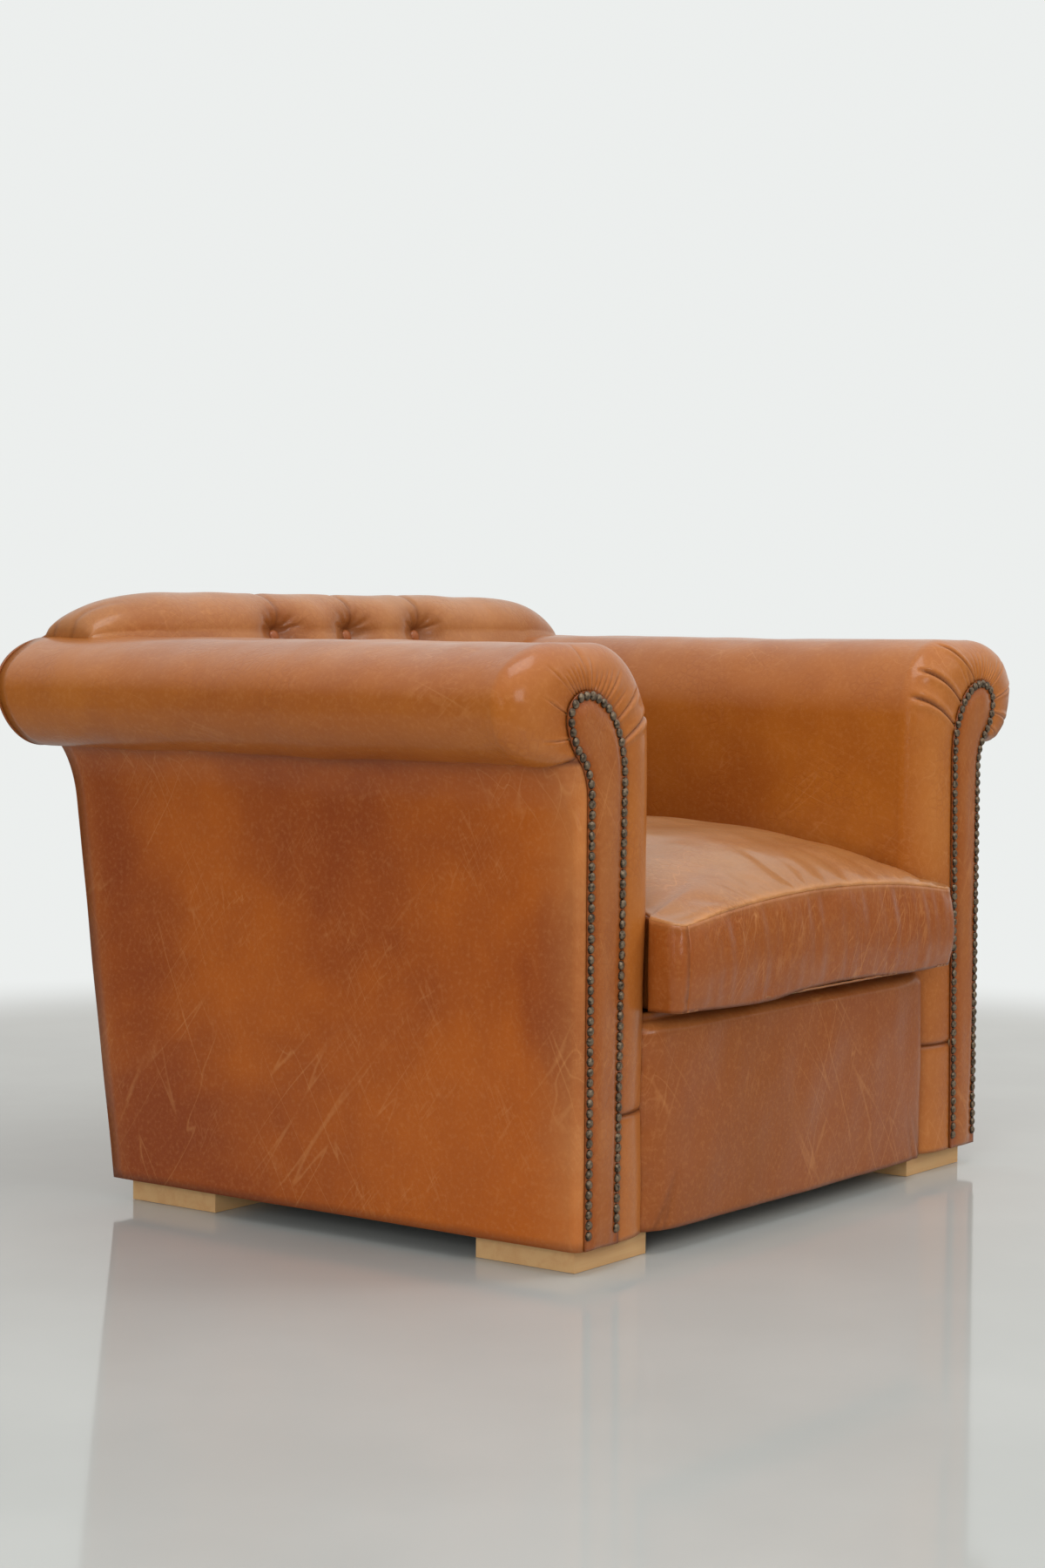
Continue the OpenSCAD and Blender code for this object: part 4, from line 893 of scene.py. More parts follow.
def back_at(x, low, high, turn):
    """Points of the smooth back, by shares of its lower and upper face and its turn in degrees."""
    out = corner_at(x)
    top = back_top(out)
    over_arm = np.abs(x) >= BACK_EDGE
    foot = np.where(over_arm, arm_height(HALF_W - np.abs(x)) - SUNK, SHOULDER_Z)
    round_h = np.minimum(LOAF_H, ROUND_SHARE * (top - foot))
    half = LOAF_T / 2 * np.sqrt(1 - 0.55 * out ** 2)
    last = np.radians(loaf_turn_at(x))
    end_z = top - round_h * (1 - np.sin(last))
    middle_y = rear_plane(end_z, 0.003) + half * np.cos(last)
    start_z = top - round_h
    between_arms = DECK_Z - DECK_TUCK + (foot - DECK_Z + DECK_TUCK) * low
    z = np.where(high > 0, foot + (start_z - foot) * high, between_arms)
    share = clamp((z - DECK_Z) / (start_z - DECK_Z))
    foot_y = FRONT_Y + SEAT_D
    y = foot_y + (middle_y - half - foot_y) * share ** FACE_POWER
    angle = np.radians(turn * loaf_turn_at(x) / LOAF_TURN)
    y = np.where(turn > 0, middle_y - half * np.cos(angle), y)
    z = np.where(turn > 0, start_z + round_h * np.sin(angle), z)
    return np.stack([np.broadcast_to(x, z.shape), y, z], -1)


def off_segment(x, z, a, b):
    """Distance of places from the stretch between two buttons."""
    run = np.array(b) - np.array(a)
    share = clamp(((x - a[0]) * run[0] + (z - a[1]) * run[1]) / (run @ run))
    return np.hypot(x - a[0] - run[0] * share, z - a[1] - run[1] * share)


def button_pull(points, turn):
    """How deep the buttons and folds draw the hide in, and how sharply it folds there, which also sets the
    painted shade in the pits and pleats.
    """
    x, z = points[..., 0], points[..., 2]
    flat = turn <= 0
    z = np.where(flat, z, TUFT_Z + np.radians(turn) * LOAF_H * 1.1)
    pit = np.zeros(x.shape)
    crease = np.zeros(x.shape)
    for bx, bz in buttons:
        away = np.hypot(x - bx, z - bz)
        pit = np.maximum(pit, TUFT_DEPTH * np.exp(-(away / PIT_R) ** 1.35))
        star = np.abs(np.sin(STAR_ARMS / 2 * np.arctan2(z - bz, x - bx) + bx * 9)) ** 0.6
        pit += STAR_DEEP * (1 - star) * np.exp(-((away - STAR_R) / STAR_W) ** 2)
    for a in buttons:
        for b in buttons:
            if 0 < a[1] - b[1] < 1.5 * TUFT_RISE and abs(a[0] - b[0]) < TUFT_PITCH:
                crease = np.maximum(crease, np.exp(-off_segment(x, z, a, b) / PLEAT_W))
    lowest = min(b[1] for b in buttons)
    highest = max(b[1] for b in buttons)
    for bx, bz in buttons:
        if bz == lowest:
            crease = np.maximum(crease, np.exp(-np.abs(x - bx) / PLEAT_W) * (z < bz))
        if bz == highest:
            ease = clamp(1.15 - turn / 135)
            crease = np.maximum(crease, np.exp(-np.abs(x - bx - 0.002) / 0.0070) * (z >= bz) * ease)
    # painted shade: darkest in the pits and along the pleats
    dark = np.maximum(crease ** 1.6, clamp(pit / TUFT_DEPTH) ** 1.4)
    return np.maximum(pit, PLEAT_DEEP * crease), dark


# rows up the face between the arms, then above them, then over the padded top
BACK_COLS = 230
LOW_ROWS, HIGH_ROWS, TURN_ROWS = 70, 26, 40
WING_IN = 0.003
PLAIN_FROM = 0.36
ZIP_CLEAR_Z = 0.305
EDGE_SUNK = 0.003
x_line = np.linspace(-(WING_X - WING_IN), WING_X - WING_IN, BACK_COLS)
low = np.concatenate([np.linspace(0, 1, LOW_ROWS, endpoint=False), np.ones(HIGH_ROWS + TURN_ROWS)])
high = np.concatenate([
    np.zeros(LOW_ROWS), np.linspace(0, 1, HIGH_ROWS, endpoint=False) + 1e-6, np.ones(TURN_ROWS)])
turn = np.concatenate([np.zeros(LOW_ROWS + HIGH_ROWS), np.linspace(0, LOAF_TURN, TURN_ROWS) + 1e-3])
low, high, turn = low[:, None], high[:, None], turn[:, None]
points = back_at(x_line[None, :], low, high, turn)
sideways = np.abs(points[..., 0])
inner = clamp((BACK_EDGE - sideways) / 0.05)
inner = np.where(turn > 0, clamp((PLAIN_FROM - sideways) / 0.08), inner)
pull, crease = button_pull(points, turn)
pull, crease = pull * inner, crease * inner
swell = ripples(points, 41, 0.24, 0.0018) + ripples(points, 42, 0.09, 0.0006)
swell *= clamp((points[..., 2] - ZIP_CLEAR_Z) / 0.08)
ends = clamp((sideways - PLAIN_FROM) / 0.09)
radial = clamp(np.sin(points[..., 1] * 210 + points[..., 0] * 60)) ** 4 * ends * (turn > 20)
edge_in = clamp(1 - (LOAF_TURN - turn) / 5) * EDGE_SUNK * (turn > 0)
lift = swell * (1 - 0.6 * crease) - pull - 0.0012 * radial - edge_in
points = points + normals_of(points) * lift[..., None]
# painted shade in the pits, along the pleats and in the radial folds of the ends
fold = crease * 0.8 + 0.3 * radial
# painted sheen on faces that look up, and wear on the raised hide between the buttons
up = clamp(normals_of(points)[..., 2])
wear = 0.3 * up ** 2 + 0.35 * clamp(1 - pull / 0.006) * inner
# the two ends tuck in between the arms' rolls and the outside back
for column, outward in ((0, -SUNK), (-1, SUNK)):
    edge = points[LOW_ROWS:, column]
    edge[:, 0] += outward
    edge[:, 2] = np.minimum(edge[:, 2], ARM_TOP - SUNK)
middle_x = (x_line[:-1] + x_line[1:]) / 2
keep = (np.arange(len(low) - 1)[:, None] >= LOW_ROWS) | (np.abs(middle_x)[None, :] < BACK_EDGE)
# its body is paler and greyer than the arms' hide, a painted sheen on the back's face
back_hide = hide_material(
    "back_hide", mottle=0.45, scratches=0.2, creases=0.5,
    body=(0.365, 0.142, 0.038, 1.0),
    run=(0.90, 0.10, 0.43), cross=(0.80, 0.0, -0.60))
mesh = grid_mesh("inside_back_hide", points, keep=keep, fold=fold, wear=wear)
piece = show("inside_back_hide", mesh, back_hide, "chair", "tan_leather", "inside_back_cover", "back_foam")
leather_back(piece)

# covered buttons: a leather dome gathered over a metal blank, sunk to the bottom of its pit
BUTTON_R = 0.009
BUTTON_SIDES = 28
BUTTON_RINGS = ((0.75, -0.003), (1.0, 0.0), (0.93, 0.0022), (0.7, 0.0038), (0.35, 0.0047))
BUTTON_CROWN = 0.005
BUTTON_BASE = -0.004
BUTTON_GATHER = 0.02
BUTTON_UP = 0.003
BUTTON_DROP = 0.004
BUTTON_FACES = Vector((0, -1, 0.22)).normalized()


def ring_of(radius, rise, sides, gather=0.0):
    """Points of a ring round Z, where a gather takes every second one a little further out."""
    reach = [radius * (1 + gather * (k % 2)) for k in range(sides)]
    angle = [2 * math.pi * k / sides for k in range(sides)]
    return [Vector((r * math.cos(a), r * math.sin(a), rise)) for r, a in zip(reach, angle)]


def dome_faces(first, rings, sides):
    """Faces of a dome's rings from a first vertex on, and of the point that crowns them."""
    pairs = [(k, (k + 1) % sides) for k in range(sides)]
    faces = []
    for row in range(first, first + (rings - 1) * sides, sides):
        faces += [(row + a, row + b, row + b + sides, row + a + sides) for a, b in pairs]
    last = first + (rings - 1) * sides
    return faces + [(last + a, last + b, last + sides) for a, b in pairs]


verts, faces = [], []
turned = BUTTON_FACES.to_track_quat("Z", "Y").to_matrix()
for bx, bz in buttons:
    low_share = min((bz - DECK_Z + DECK_TUCK) / (SHOULDER_Z - DECK_Z + DECK_TUCK), 1)
    high_share = max((bz - SHOULDER_Z) / (TUFT_Z - SHOULDER_Z) - 1e-6, 0)
    spot = back_at(*(np.array([[value]]) for value in (bx, low_share, high_share, 0.0)))[0, 0]
    middle = Vector(spot.tolist()) - BUTTON_FACES * (TUFT_DEPTH - BUTTON_UP)
    middle.z -= BUTTON_DROP
    first = len(verts)
    local = []
    for radius, rise in BUTTON_RINGS:
        gather = BUTTON_GATHER if rise < BUTTON_UP else 0.0
        local += ring_of(radius * BUTTON_R, rise, BUTTON_SIDES, gather)
    local += [Vector((0, 0, BUTTON_CROWN)), Vector((0, 0, BUTTON_BASE))]
    verts += [tuple(middle + turned @ point) for point in local]
    faces += dome_faces(first, len(BUTTON_RINGS), BUTTON_SIDES)
    faces += [(first + (k + 1) % BUTTON_SIDES, first + k, len(verts) - 1) for k in range(BUTTON_SIDES)]
mesh = smooth_mesh("covered_buttons", verts, faces)
# its body is darker than the back's, as painted shade deep in the pits
button_hide = hide_material(
    "button_hide", mottle=0.3, scratches=0.1, creases=0.2, body=(0.30, 0.085, 0.022, 1.0))
show("covered_buttons", mesh, button_hide, "chair", "tan_leather", "back_buttons")


# Outside back
# A plain hide over board on the raked rear of both arms and the back, its edges turned
# under and blind-stitched, so it is a little fuller than the board.
REAR_FULL = 0.0022
REAR_SUNK = 0.001
REAR_SPACING = 0.012
REAR_EDGE_ROWS = (0.002, 0.005, 0.009)
TOP_IN = 0.002
PAST_CREASE = -0.030
out = corner_at(np.linspace(0.30, WING_X - 0.006, 30))
top_x = CORNER_X + CORNER_W * out
top_edge = back_top(out)
top_round = np.minimum(LOAF_H, ROUND_SHARE * (top_edge - arm_height(HALF_W - top_x)))
top_edge -= top_round * (1 - np.sin(np.radians(loaf_turn_at(top_x)))) + TOP_IN
roll_out = roll_line[:STEPS[0] + STEPS[1] + STEPS[2]]
roll_out = roll_out[roll_out[:, 0] < PAST_CREASE]
outline = np.concatenate([
    np.column_stack([HALF_W - side_line[:, 0], side_line[:, 1]]),
    np.column_stack([HALF_W - roll_out[:, 0], roll_out[:, 1]]),
    np.column_stack([top_x, top_edge])[::-1],
    np.column_stack([np.linspace(0.29, 0, 12), np.full(12, BACK_TOP - LOAF_H * 0.5 - TOP_IN)]),
])
outline = np.concatenate([outline, (outline * np.array([-1.0, 1.0]))[-2:0:-1]])


def from_outline(spots, outline):
    """Distance of each spot from a closed outline, and whether it lies inside."""
    start = outline[None, :]
    run = np.roll(outline, -1, 0)[None, :] - start
    off = spots[:, None] - start
    along = clamp((off * run).sum(2) / np.maximum((run ** 2).sum(2), 1e-12))
    distance = np.linalg.norm(off - run * along[..., None], axis=2).min(1)
    end = start + run
    crossed = (start[..., 1] > spots[:, None, 1]) != (end[..., 1] > spots[:, None, 1])
    height = np.where(np.abs(run[..., 1]) < 1e-12, 1.0, run[..., 1])
    at = start[..., 0] + run[..., 0] * (spots[:, None, 1] - start[..., 1]) / height
    inside = (crossed & (spots[:, None, 0] < at)).sum(1) % 2 == 1
    return distance, inside


def cut_sheet(outline, spacing, hems):
    """Spots and triangles of a flat sheet cut to an outline, with finer rows along its edge."""
    ways = [np.arange(start, end, spacing) for start, end in zip(outline.min(0), outline.max(0))]
    field = np.stack(np.meshgrid(*ways), -1).reshape(-1, 2)
    distance, inside = from_outline(field, outline)
    spots = [outline, field[inside & (distance > hems[-1] + spacing / 2)]]
    run = np.roll(outline, -1, 0) - np.roll(outline, 1, 0)
    inward = np.stack([-run[:, 1], run[:, 0]], 1)
    inward /= np.maximum(np.linalg.norm(run, axis=1, keepdims=True), 1e-12)
    for hem in hems:
        row = outline + inward * hem
        distance, inside = from_outline(row, outline)
        spots.append(row[inside & (distance > hem * 0.97)])
    spots = np.concatenate(spots)
    edge = [(i, (i + 1) % len(outline)) for i in range(len(outline))]
    cut = delaunay_2d_cdt([Vector(spot) for spot in spots], edge, [], 1, 1e-6)
    return np.array([tuple(spot) for spot in cut[0]]), cut[2]


spots, triangles = cut_sheet(outline, REAR_SPACING, REAR_EDGE_ROWS)
from_edge = from_outline(spots, outline)[0]
puff = REAR_FULL * (1 - np.exp(-from_edge / 0.008)) - REAR_SUNK
points = np.stack([spots[:, 0], rear_plane(spots[:, 1]) + puff, spots[:, 1]], -1)
points[:, 1] += ripples(points, 61, 0.4, 0.0012) * clamp(from_edge / 0.03)
# painted shade along the turned-under edges, also used for their wear
fold = clamp(1 - from_edge / 0.003) * 0.5
rear_hide = hide_material(
    "rear_hide", mottle=0.8, scratches=0.22, creases=0.15, body=(0.385, 0.100, 0.014, 1.0))
mesh = smooth_mesh("outside_back_hide", points.tolist(), [face[::-1] for face in triangles],
                   fold=fold, wear=fold * 0.4)
piece = show("outside_back_hide", mesh, rear_hide, "chair", "tan_leather",
             "outside_back_cover", "outside_back_board")
leather_back(piece)


# Deck and front border
# Leather over the sprung deck, hidden by the cushion, and a padded border across the
# front that is rolled over the front rail and lapped onto both arm fronts.
deck_hide = hide_material(
    "deck_hide", mottle=0.4, scratches=0.1, creases=0.2, body=(0.34, 0.10, 0.028, 1.0))
dress(deck_hide, "deck_cover")

BORDER_W = BACK_EDGE + 0.018
BORDER_TOP = 0.250
BORDER_ROUND = 0.014
BORDER_PAD = 0.006
BORDER_BULGE = 0.004
BORDER_REACH = 0.016
BORDER_HUG = 0.0115
EDGE_WAVER = 0.0022
BORDER_COLS = 150
RISE_ROWS, OVER_ROWS = 40, 14
# how dark the painted shade of the border's tucks and returns is
FOLD_SHADE = 0.7
# tucks at the foot, as [place, slant, depth]
TUCKS = ((-0.285, 0.5, 0.0025), (-0.272, 0.3, 0.0018), (0.284, -0.5, 0.0025), (0.262, -0.35, 0.0015))
TUCK_DEEP = 0.0025
# rows of the flap over the deck, as [back, up] from the rounded top, and how far back
# the first of them may come
DECK_FLAP = ((-0.0004, 0.0030), (-0.0002, 0.0062), (0.0012, 0.0076), (0.006, 0.0078), (0.014, 0.0074))
FLAP_UPRIGHT = 3
FLAP_BACK = 0.0148
# rows of each side's return, as [back, outward]
SIDE_RETURN = ((0.002, 0.0006), (0.005, 0.0008), (0.010, 0.0))

u = np.linspace(-1, 1, BORDER_COLS)
out = np.abs(u)[None, :]
rise = np.concatenate([np.linspace(0, 1, RISE_ROWS, endpoint=False), np.ones(OVER_ROWS)])[:, None]
turn = np.concatenate([np.zeros(RISE_ROWS), np.linspace(0, 90, OVER_ROWS)])[:, None]
side_share = out ** 8
fullness = BORDER_PAD * (1 - side_share) + BORDER_BULGE * (1 - u[None, :] ** 2) * np.sin(math.pi * rise)
reach = BORDER_REACH - 0.004 * side_share
top_dip = 0.003 * clamp((out - 0.93) / 0.07) ** 2
hug = BORDER_HUG * clamp((out - 0.90) / 0.10) ** 2
points = np.stack([
    np.broadcast_to(BORDER_W * u[None, :], (len(rise), BORDER_COLS)),
    FRONT_Y + hug - fullness + (reach + fullness) * (1 - np.cos(np.radians(turn))),
    FLOOR_OF_HIDE + (BORDER_TOP - BORDER_ROUND - FLOOR_OF_HIDE - top_dip) * rise
    + BORDER_ROUND * np.sin(np.radians(turn)),
], -1)
points[..., 0] += EDGE_WAVER * np.sin(points[..., 2] * 95 + 1.0) * out ** 30
swell = ripples(points, 71, 0.16, 0.0014) + ripples(points, 72, 0.07, 0.0006)
above_hem = points[..., 2] - FLOOR_OF_HIDE
tucks = np.zeros(points.shape[:2])
for tuck_x, slant, depth in TUCKS:
    off = points[..., 0] - tuck_x - slant * above_hem
    tucks += depth * np.exp(-np.abs(off) / 0.003) * clamp(1 - above_hem / 0.07)
points[..., 1] -= swell - tucks
flap = np.array([points[-1] + np.array([0.0, back, up]) for back, up in DECK_FLAP])
flap[:FLAP_UPRIGHT, :, 1] = np.minimum(flap[:FLAP_UPRIGHT, :, 1], FRONT_Y + FLAP_BACK + hug)
points = np.concatenate([points, flap])
tucks = np.concatenate([tucks, np.zeros((len(flap), BORDER_COLS))])
returns = []
for column, sign in ((0, -1), (-1, 1)):
    edge = points[:, column]
    strip = [edge + np.array([sign * outward, back, 0.0]) for back, outward in SIDE_RETURN]
    returns.append(np.stack(strip, 1))
points = np.concatenate([returns[0][:, ::-1], points, returns[1]], 1)
# painted shade at the hem by the floor, in the tucks and on the side returns
hem = clamp(1 - (points[..., 2] - FLOOR_OF_HIDE) / 0.008) * 0.35
side_fold = np.full(points.shape[:2], FOLD_SHADE)
side_fold[:, len(SIDE_RETURN):-len(SIDE_RETURN)] = clamp(tucks / TUCK_DEEP) * FOLD_SHADE
# painted sheen on the rounded top, which looks up, over an even wear
up = clamp(normals_of(points)[..., 2])
mesh = grid_mesh("front_border_hide", points, fold=np.maximum(hem, side_fold), wear=0.35 * up + 0.12)
# its body is much darker than the arms' hide, a painted shadow under the cushion's overhang on a face that
# looks forward
border_hide = hide_material(
    "front_border_hide", mottle=0.6, scratches=0.22, creases=0.35, body=(0.228, 0.053, 0.0030, 1.0))
piece = show("front_border_hide", mesh, border_hide, "chair", "tan_leather",
             "front_border_cover", "front_border_foam")
leather_back(piece)


# Arm facings
# A narrow strip of hide over thin padding covers the front post of each arm, and is
# nailed down along both edges, so that it swells between the two rows.
FACING_DOME = 0.0042
DOME_FROM = 0.0045
NAIL_IN = 0.005
RUNG_ROWS = 150
RUNG_COLS = 19

facing_edge = np.concatenate([facing_side, facing_loop[1:]])


def lengths_along(line):
    """Length travelled along a line at each of its points."""
    return np.concatenate([[0], np.cumsum(np.linalg.norm(np.diff(line, axis=0), axis=1))])


along = lengths_along(facing_edge)


def edge_at(distance):
    """Places on the facing's edge at distances along it from its outer foot."""
    return np.stack([np.interp(distance, along, facing_edge[:, k]) for k in (0, 1)], -1)


# its body is much darker than the arms' hide, as painted shade on a face that looks forward
facing_hide = hide_material(
    "facing_hide", mottle=0.5, scratches=0.25, creases=0.5, body=(0.255, 0.056, 0.0028, 1.0))
apex = along[np.argmax(facing_edge[:, 1])]
rung_share = np.linspace(0, 1, RUNG_ROWS)
outer = edge_at(apex * rung_share)
inner = edge_at(along[-1] - (along[-1] - apex) * rung_share)
across = np.linspace(0, 1, RUNG_COLS)
spots = outer[:, None] + (inner - outer)[:, None] * across[None, :, None]
flat_edge = edge_at(np.linspace(0, along[-1], 700))
from_edge = np.sqrt(((spots[:, :, None] - flat_edge[None, None]) ** 2).sum(-1)).min(-1)
for side, seed in (("left", 13), ("right", 17)):
    dome = FACING_DOME * (1 - np.exp(-(clamp(from_edge - NAIL_IN - DOME_FROM) / 0.007) ** 1.3))
    foot = clamp((spots[..., 1] - FLOOR_OF_HIDE) / 0.03) ** 0.5
    points = np.stack([spots[..., 0] - HALF_W, FRONT_Y - HIDE_T - dome * foot, spots[..., 1]], -1)
    ridges = ripples(points * np.array([1.0, 1.0, 0.12]), seed, 0.028, 0.0008)
    ridges += ripples(points, seed + 1, 0.09, 0.0006)
    points[..., 1] += ridges * clamp((from_edge - NAIL_IN) / 0.012)
    # painted shade along both nailed edges
    fold = 0.55 * clamp(1 - from_edge / 0.005)
    wear = 0.35 * clamp(dome / FACING_DOME)
    name = "facing_hide_" + side
    mesh = grid_mesh(name, points, mirrored=side == "right", fold=fold, wear=wear)
    piece = show(name, mesh, facing_hide, "chair", "tan_leather", "arm_facing_" + side)
    leather_back(piece)


# Decorative nails
# Domed heads in antique bronze, driven almost touching along the facing's edge. Each
# sits a little differently, as nails do when they are set by hand.
NAIL_R = 0.0052
NAIL_H = 0.0036
NAIL_PITCH = 0.0105
NAIL_FIRST_Z = 0.0423
NAIL_SIDES = 14
NAIL_RINGS = ((1.0, 0.0), (1.0, 0.10), (0.93, 0.36), (0.78, 0.62), (0.56, 0.83), (0.28, 0.96))
NAIL_LEAN = 0.07
NAIL_ASIDE = 0.00022
NAIL_ALONG = 0.0002
BRONZE_DARK = (0.045, 0.030, 0.020, 1.0)
BRONZE_WORN = (0.30, 0.225, 0.150, 1.0)

bronze, tree, output = new_material("antique_bronze")
tarnish = noise(tree, object_place(tree), 260.0, 5.0)
share = arithmetic(tree, "ADD", arithmetic(tree, "MULTIPLY", tarnish, 0.8),
                   arithmetic(tree, "MULTIPLY", painted(tree, "wear"), 0.3))
lay_surface(tree, output, {
    "Base Color": blend_colour(tree, ramp(tree, share, 0.42, 0.8), BRONZE_DARK, BRONZE_WORN),
    "Metallic": 0.85, "Roughness": ramp(tree, tarnish, 0.3, 0.7, 0.30, 0.50)})

# the line of the nails runs just inside the facing's edge
tangent = np.gradient(facing_edge, axis=0)
tangent /= np.maximum(np.linalg.norm(tangent, axis=1, keepdims=True), 1e-9)
nail_line = facing_edge + np.column_stack([tangent[:, 1], -tangent[:, 0]]) * NAIL_IN
nail_line = nail_line[(nail_line[:, 1] >= NAIL_FIRST_Z - 0.02)]
travelled = lengths_along(nail_line)
first_nail = np.interp(NAIL_FIRST_Z, nail_line[:40, 1], travelled[:40])
nailed = travelled[-1] - 2 * first_nail
gaps = int(nailed / NAIL_PITCH)
nail_at = first_nail + nailed * np.arange(gaps + 1) / gaps
nail_spots = np.stack([np.interp(nail_at, travelled, nail_line[:, k]) for k in (0, 1)], -1)
for side, seed in (("left", 23), ("right", 29)):
    random = np.random.default_rng(seed)
    verts, faces, worn = [], [], []
    for inward, z in nail_spots:
        lean = Vector((random.normal() * NAIL_LEAN, -1.0, random.normal() * NAIL_LEAN)).normalized()
        turned = lean.to_track_quat("Z", "Y").to_matrix()
        aside = random.normal() * NAIL_ASIDE
        middle = Vector((inward - HALF_W + aside, FRONT_Y - HIDE_T, z + random.normal() * NAIL_ALONG))
        size = NAIL_R * random.uniform(0.97, 1.02)
        first = len(verts)
        local = []
        for radius, rise in NAIL_RINGS:
            local += ring_of(size * radius, NAIL_H * rise, NAIL_SIDES)
            worn += [rise] * NAIL_SIDES
        local.append(Vector((0, 0, NAIL_H)))
        worn.append(1.0)
        verts += [tuple(middle + turned @ point) for point in local]
        faces += dome_faces(first, len(NAIL_RINGS), NAIL_SIDES)
        faces.append(tuple(range(first + NAIL_SIDES - 1, first - 1, -1)))
    if side == "right":
        verts = [(-x, y, z) for x, y, z in verts]
        faces = [face[::-1] for face in faces]
    mesh = smooth_mesh("bronze_nails_" + side, verts, faces, wear=worn)
    show("bronze_nails_" + side, mesh, bronze, "chair", "bronze_nail", "facing_nails_" + side)


# Seat cushion
# A box cushion: crowned top and flat bottom panels joined to an upright band by plain
# stitched seams, filled with foam in a fibre wrap, with small ears in front of the arms.
CUSHION_LIP = 0.038
CUSHION_EAR = 0.020
CUSHION_HALF = 0.2801
CUSHION_Z = 0.2573
CUSHION_Y0 = FRONT_Y - CUSHION_LIP
CUSHION_REAR_CLEAR = 0.0009
CUSHION_D = SEAT_D - CUSHION_REAR_CLEAR + CUSHION_LIP
BOXING_H = 0.092
SEAM_RISE = 0.021
CROWN = 0.064
CROWN_POWER = 0.62
BOTTOM_CROWN = 0.005
SEAM_IN = 0.003
BAND_FULL = 0.003
FOOT_WAVE = 0.0022
FOOT_STEP = 0.0016
CORNER_R = 0.016
EAR_SHARE = (CUSHION_LIP - HIDE_T) / CUSHION_D
NOSE_SHARE = (CUSHION_LIP + 0.034) / CUSHION_D
EAR_CLEAR = 0.0045
CUSHION_COLS = 97
BAND_ROWS = 23

# shares of the depth and of the width, closer together at the ears and the edges
cushion_v = np.concatenate([
    np.linspace(0, 0.02, 7, endpoint=False),
    np.linspace(0.02, EAR_SHARE, 6, endpoint=False),
    np.linspace(EAR_SHARE, NOSE_SHARE, 12, endpoint=False),
    np.linspace(NOSE_SHARE, 0.965, 52),
    np.linspace(0.97, 1, 7),
])
even = np.linspace(-1, 1, CUSHION_COLS)
cushion_u = np.sin(np.linspace(-math.pi / 2, math.pi / 2, CUSHION_COLS)) * 0.35 + even * 0.65


def cushion_half_width(v):
    """Half width of the cushion at a share of its depth, its corners rounded."""
    behind_front = 1 - np.clip(v * CUSHION_D - CUSHION_LIP, 0, NOSE) / NOSE
    beside_nose = NOSE * (1 - np.sqrt(1 - behind_front ** 2)) - EAR_CLEAR
    wide = CUSHION_HALF + np.clip(beside_nose, 0, CUSHION_EAR)
    to_corner = 1 - clamp(np.minimum(v, 1 - v) * CUSHION_D / CORNER_R)
    return wide - CORNER_R * (1 - np.sqrt(clamp(1 - to_corner ** 2)))


def cushion_plan(u, v, inset):
    """Places on the cushion's plan, an inset in from its fullest line."""
    x = (cushion_half_width(v) - inset) * u
    y = CUSHION_Y0 + CUSHION_D * v
    return x, y + inset * (1 - 2 * v)


def seam_height(u, v):
    """Height of the top seam, which lifts between the corners."""
    return CUSHION_Z + BOTTOM_CROWN + BOXING_H + SEAM_RISE * (1 - u ** 2 * (2 * v - 1) ** 2)


def bowl(u, v):
    """Crown of a panel from nothing at its seams to one in its middle."""
    return clamp((1 - u ** 2) * (1 - (2 * v - 1) ** 2)) ** CROWN_POWER


def blurred(values, reach):
    """Grid of values averaged over its neighbours both ways."""
    for axis in (0, 1):
        padding = [(0, 0)] * values.ndim
        padding[axis] = (reach + 1, reach)
        total = np.cumsum(np.pad(values, padding, mode="edge"), axis=axis)
        high = np.take(total, range(2 * reach + 1, total.shape[axis]), axis=axis)
        low_side = np.take(total, range(0, total.shape[axis] - 2 * reach - 1), axis=axis)
        values = (high - low_side) / (2 * reach + 1)
    return values


# the sewn cushion as cloth: pressure, spare hide along the seams, the most a point may
# move, and how much of each panel's creases is kept once its broad swell is taken off
SIM_FRAMES = 20
PRESSURE = 3.0
SPARE_HIDE = 0.02
CLOTH_CAP = 0.012
SWELL_REACH = 9
TOP_SWELL_OFF = 0.8
PANEL_CREASES = 0.5
BAND_CREASES = 0.3


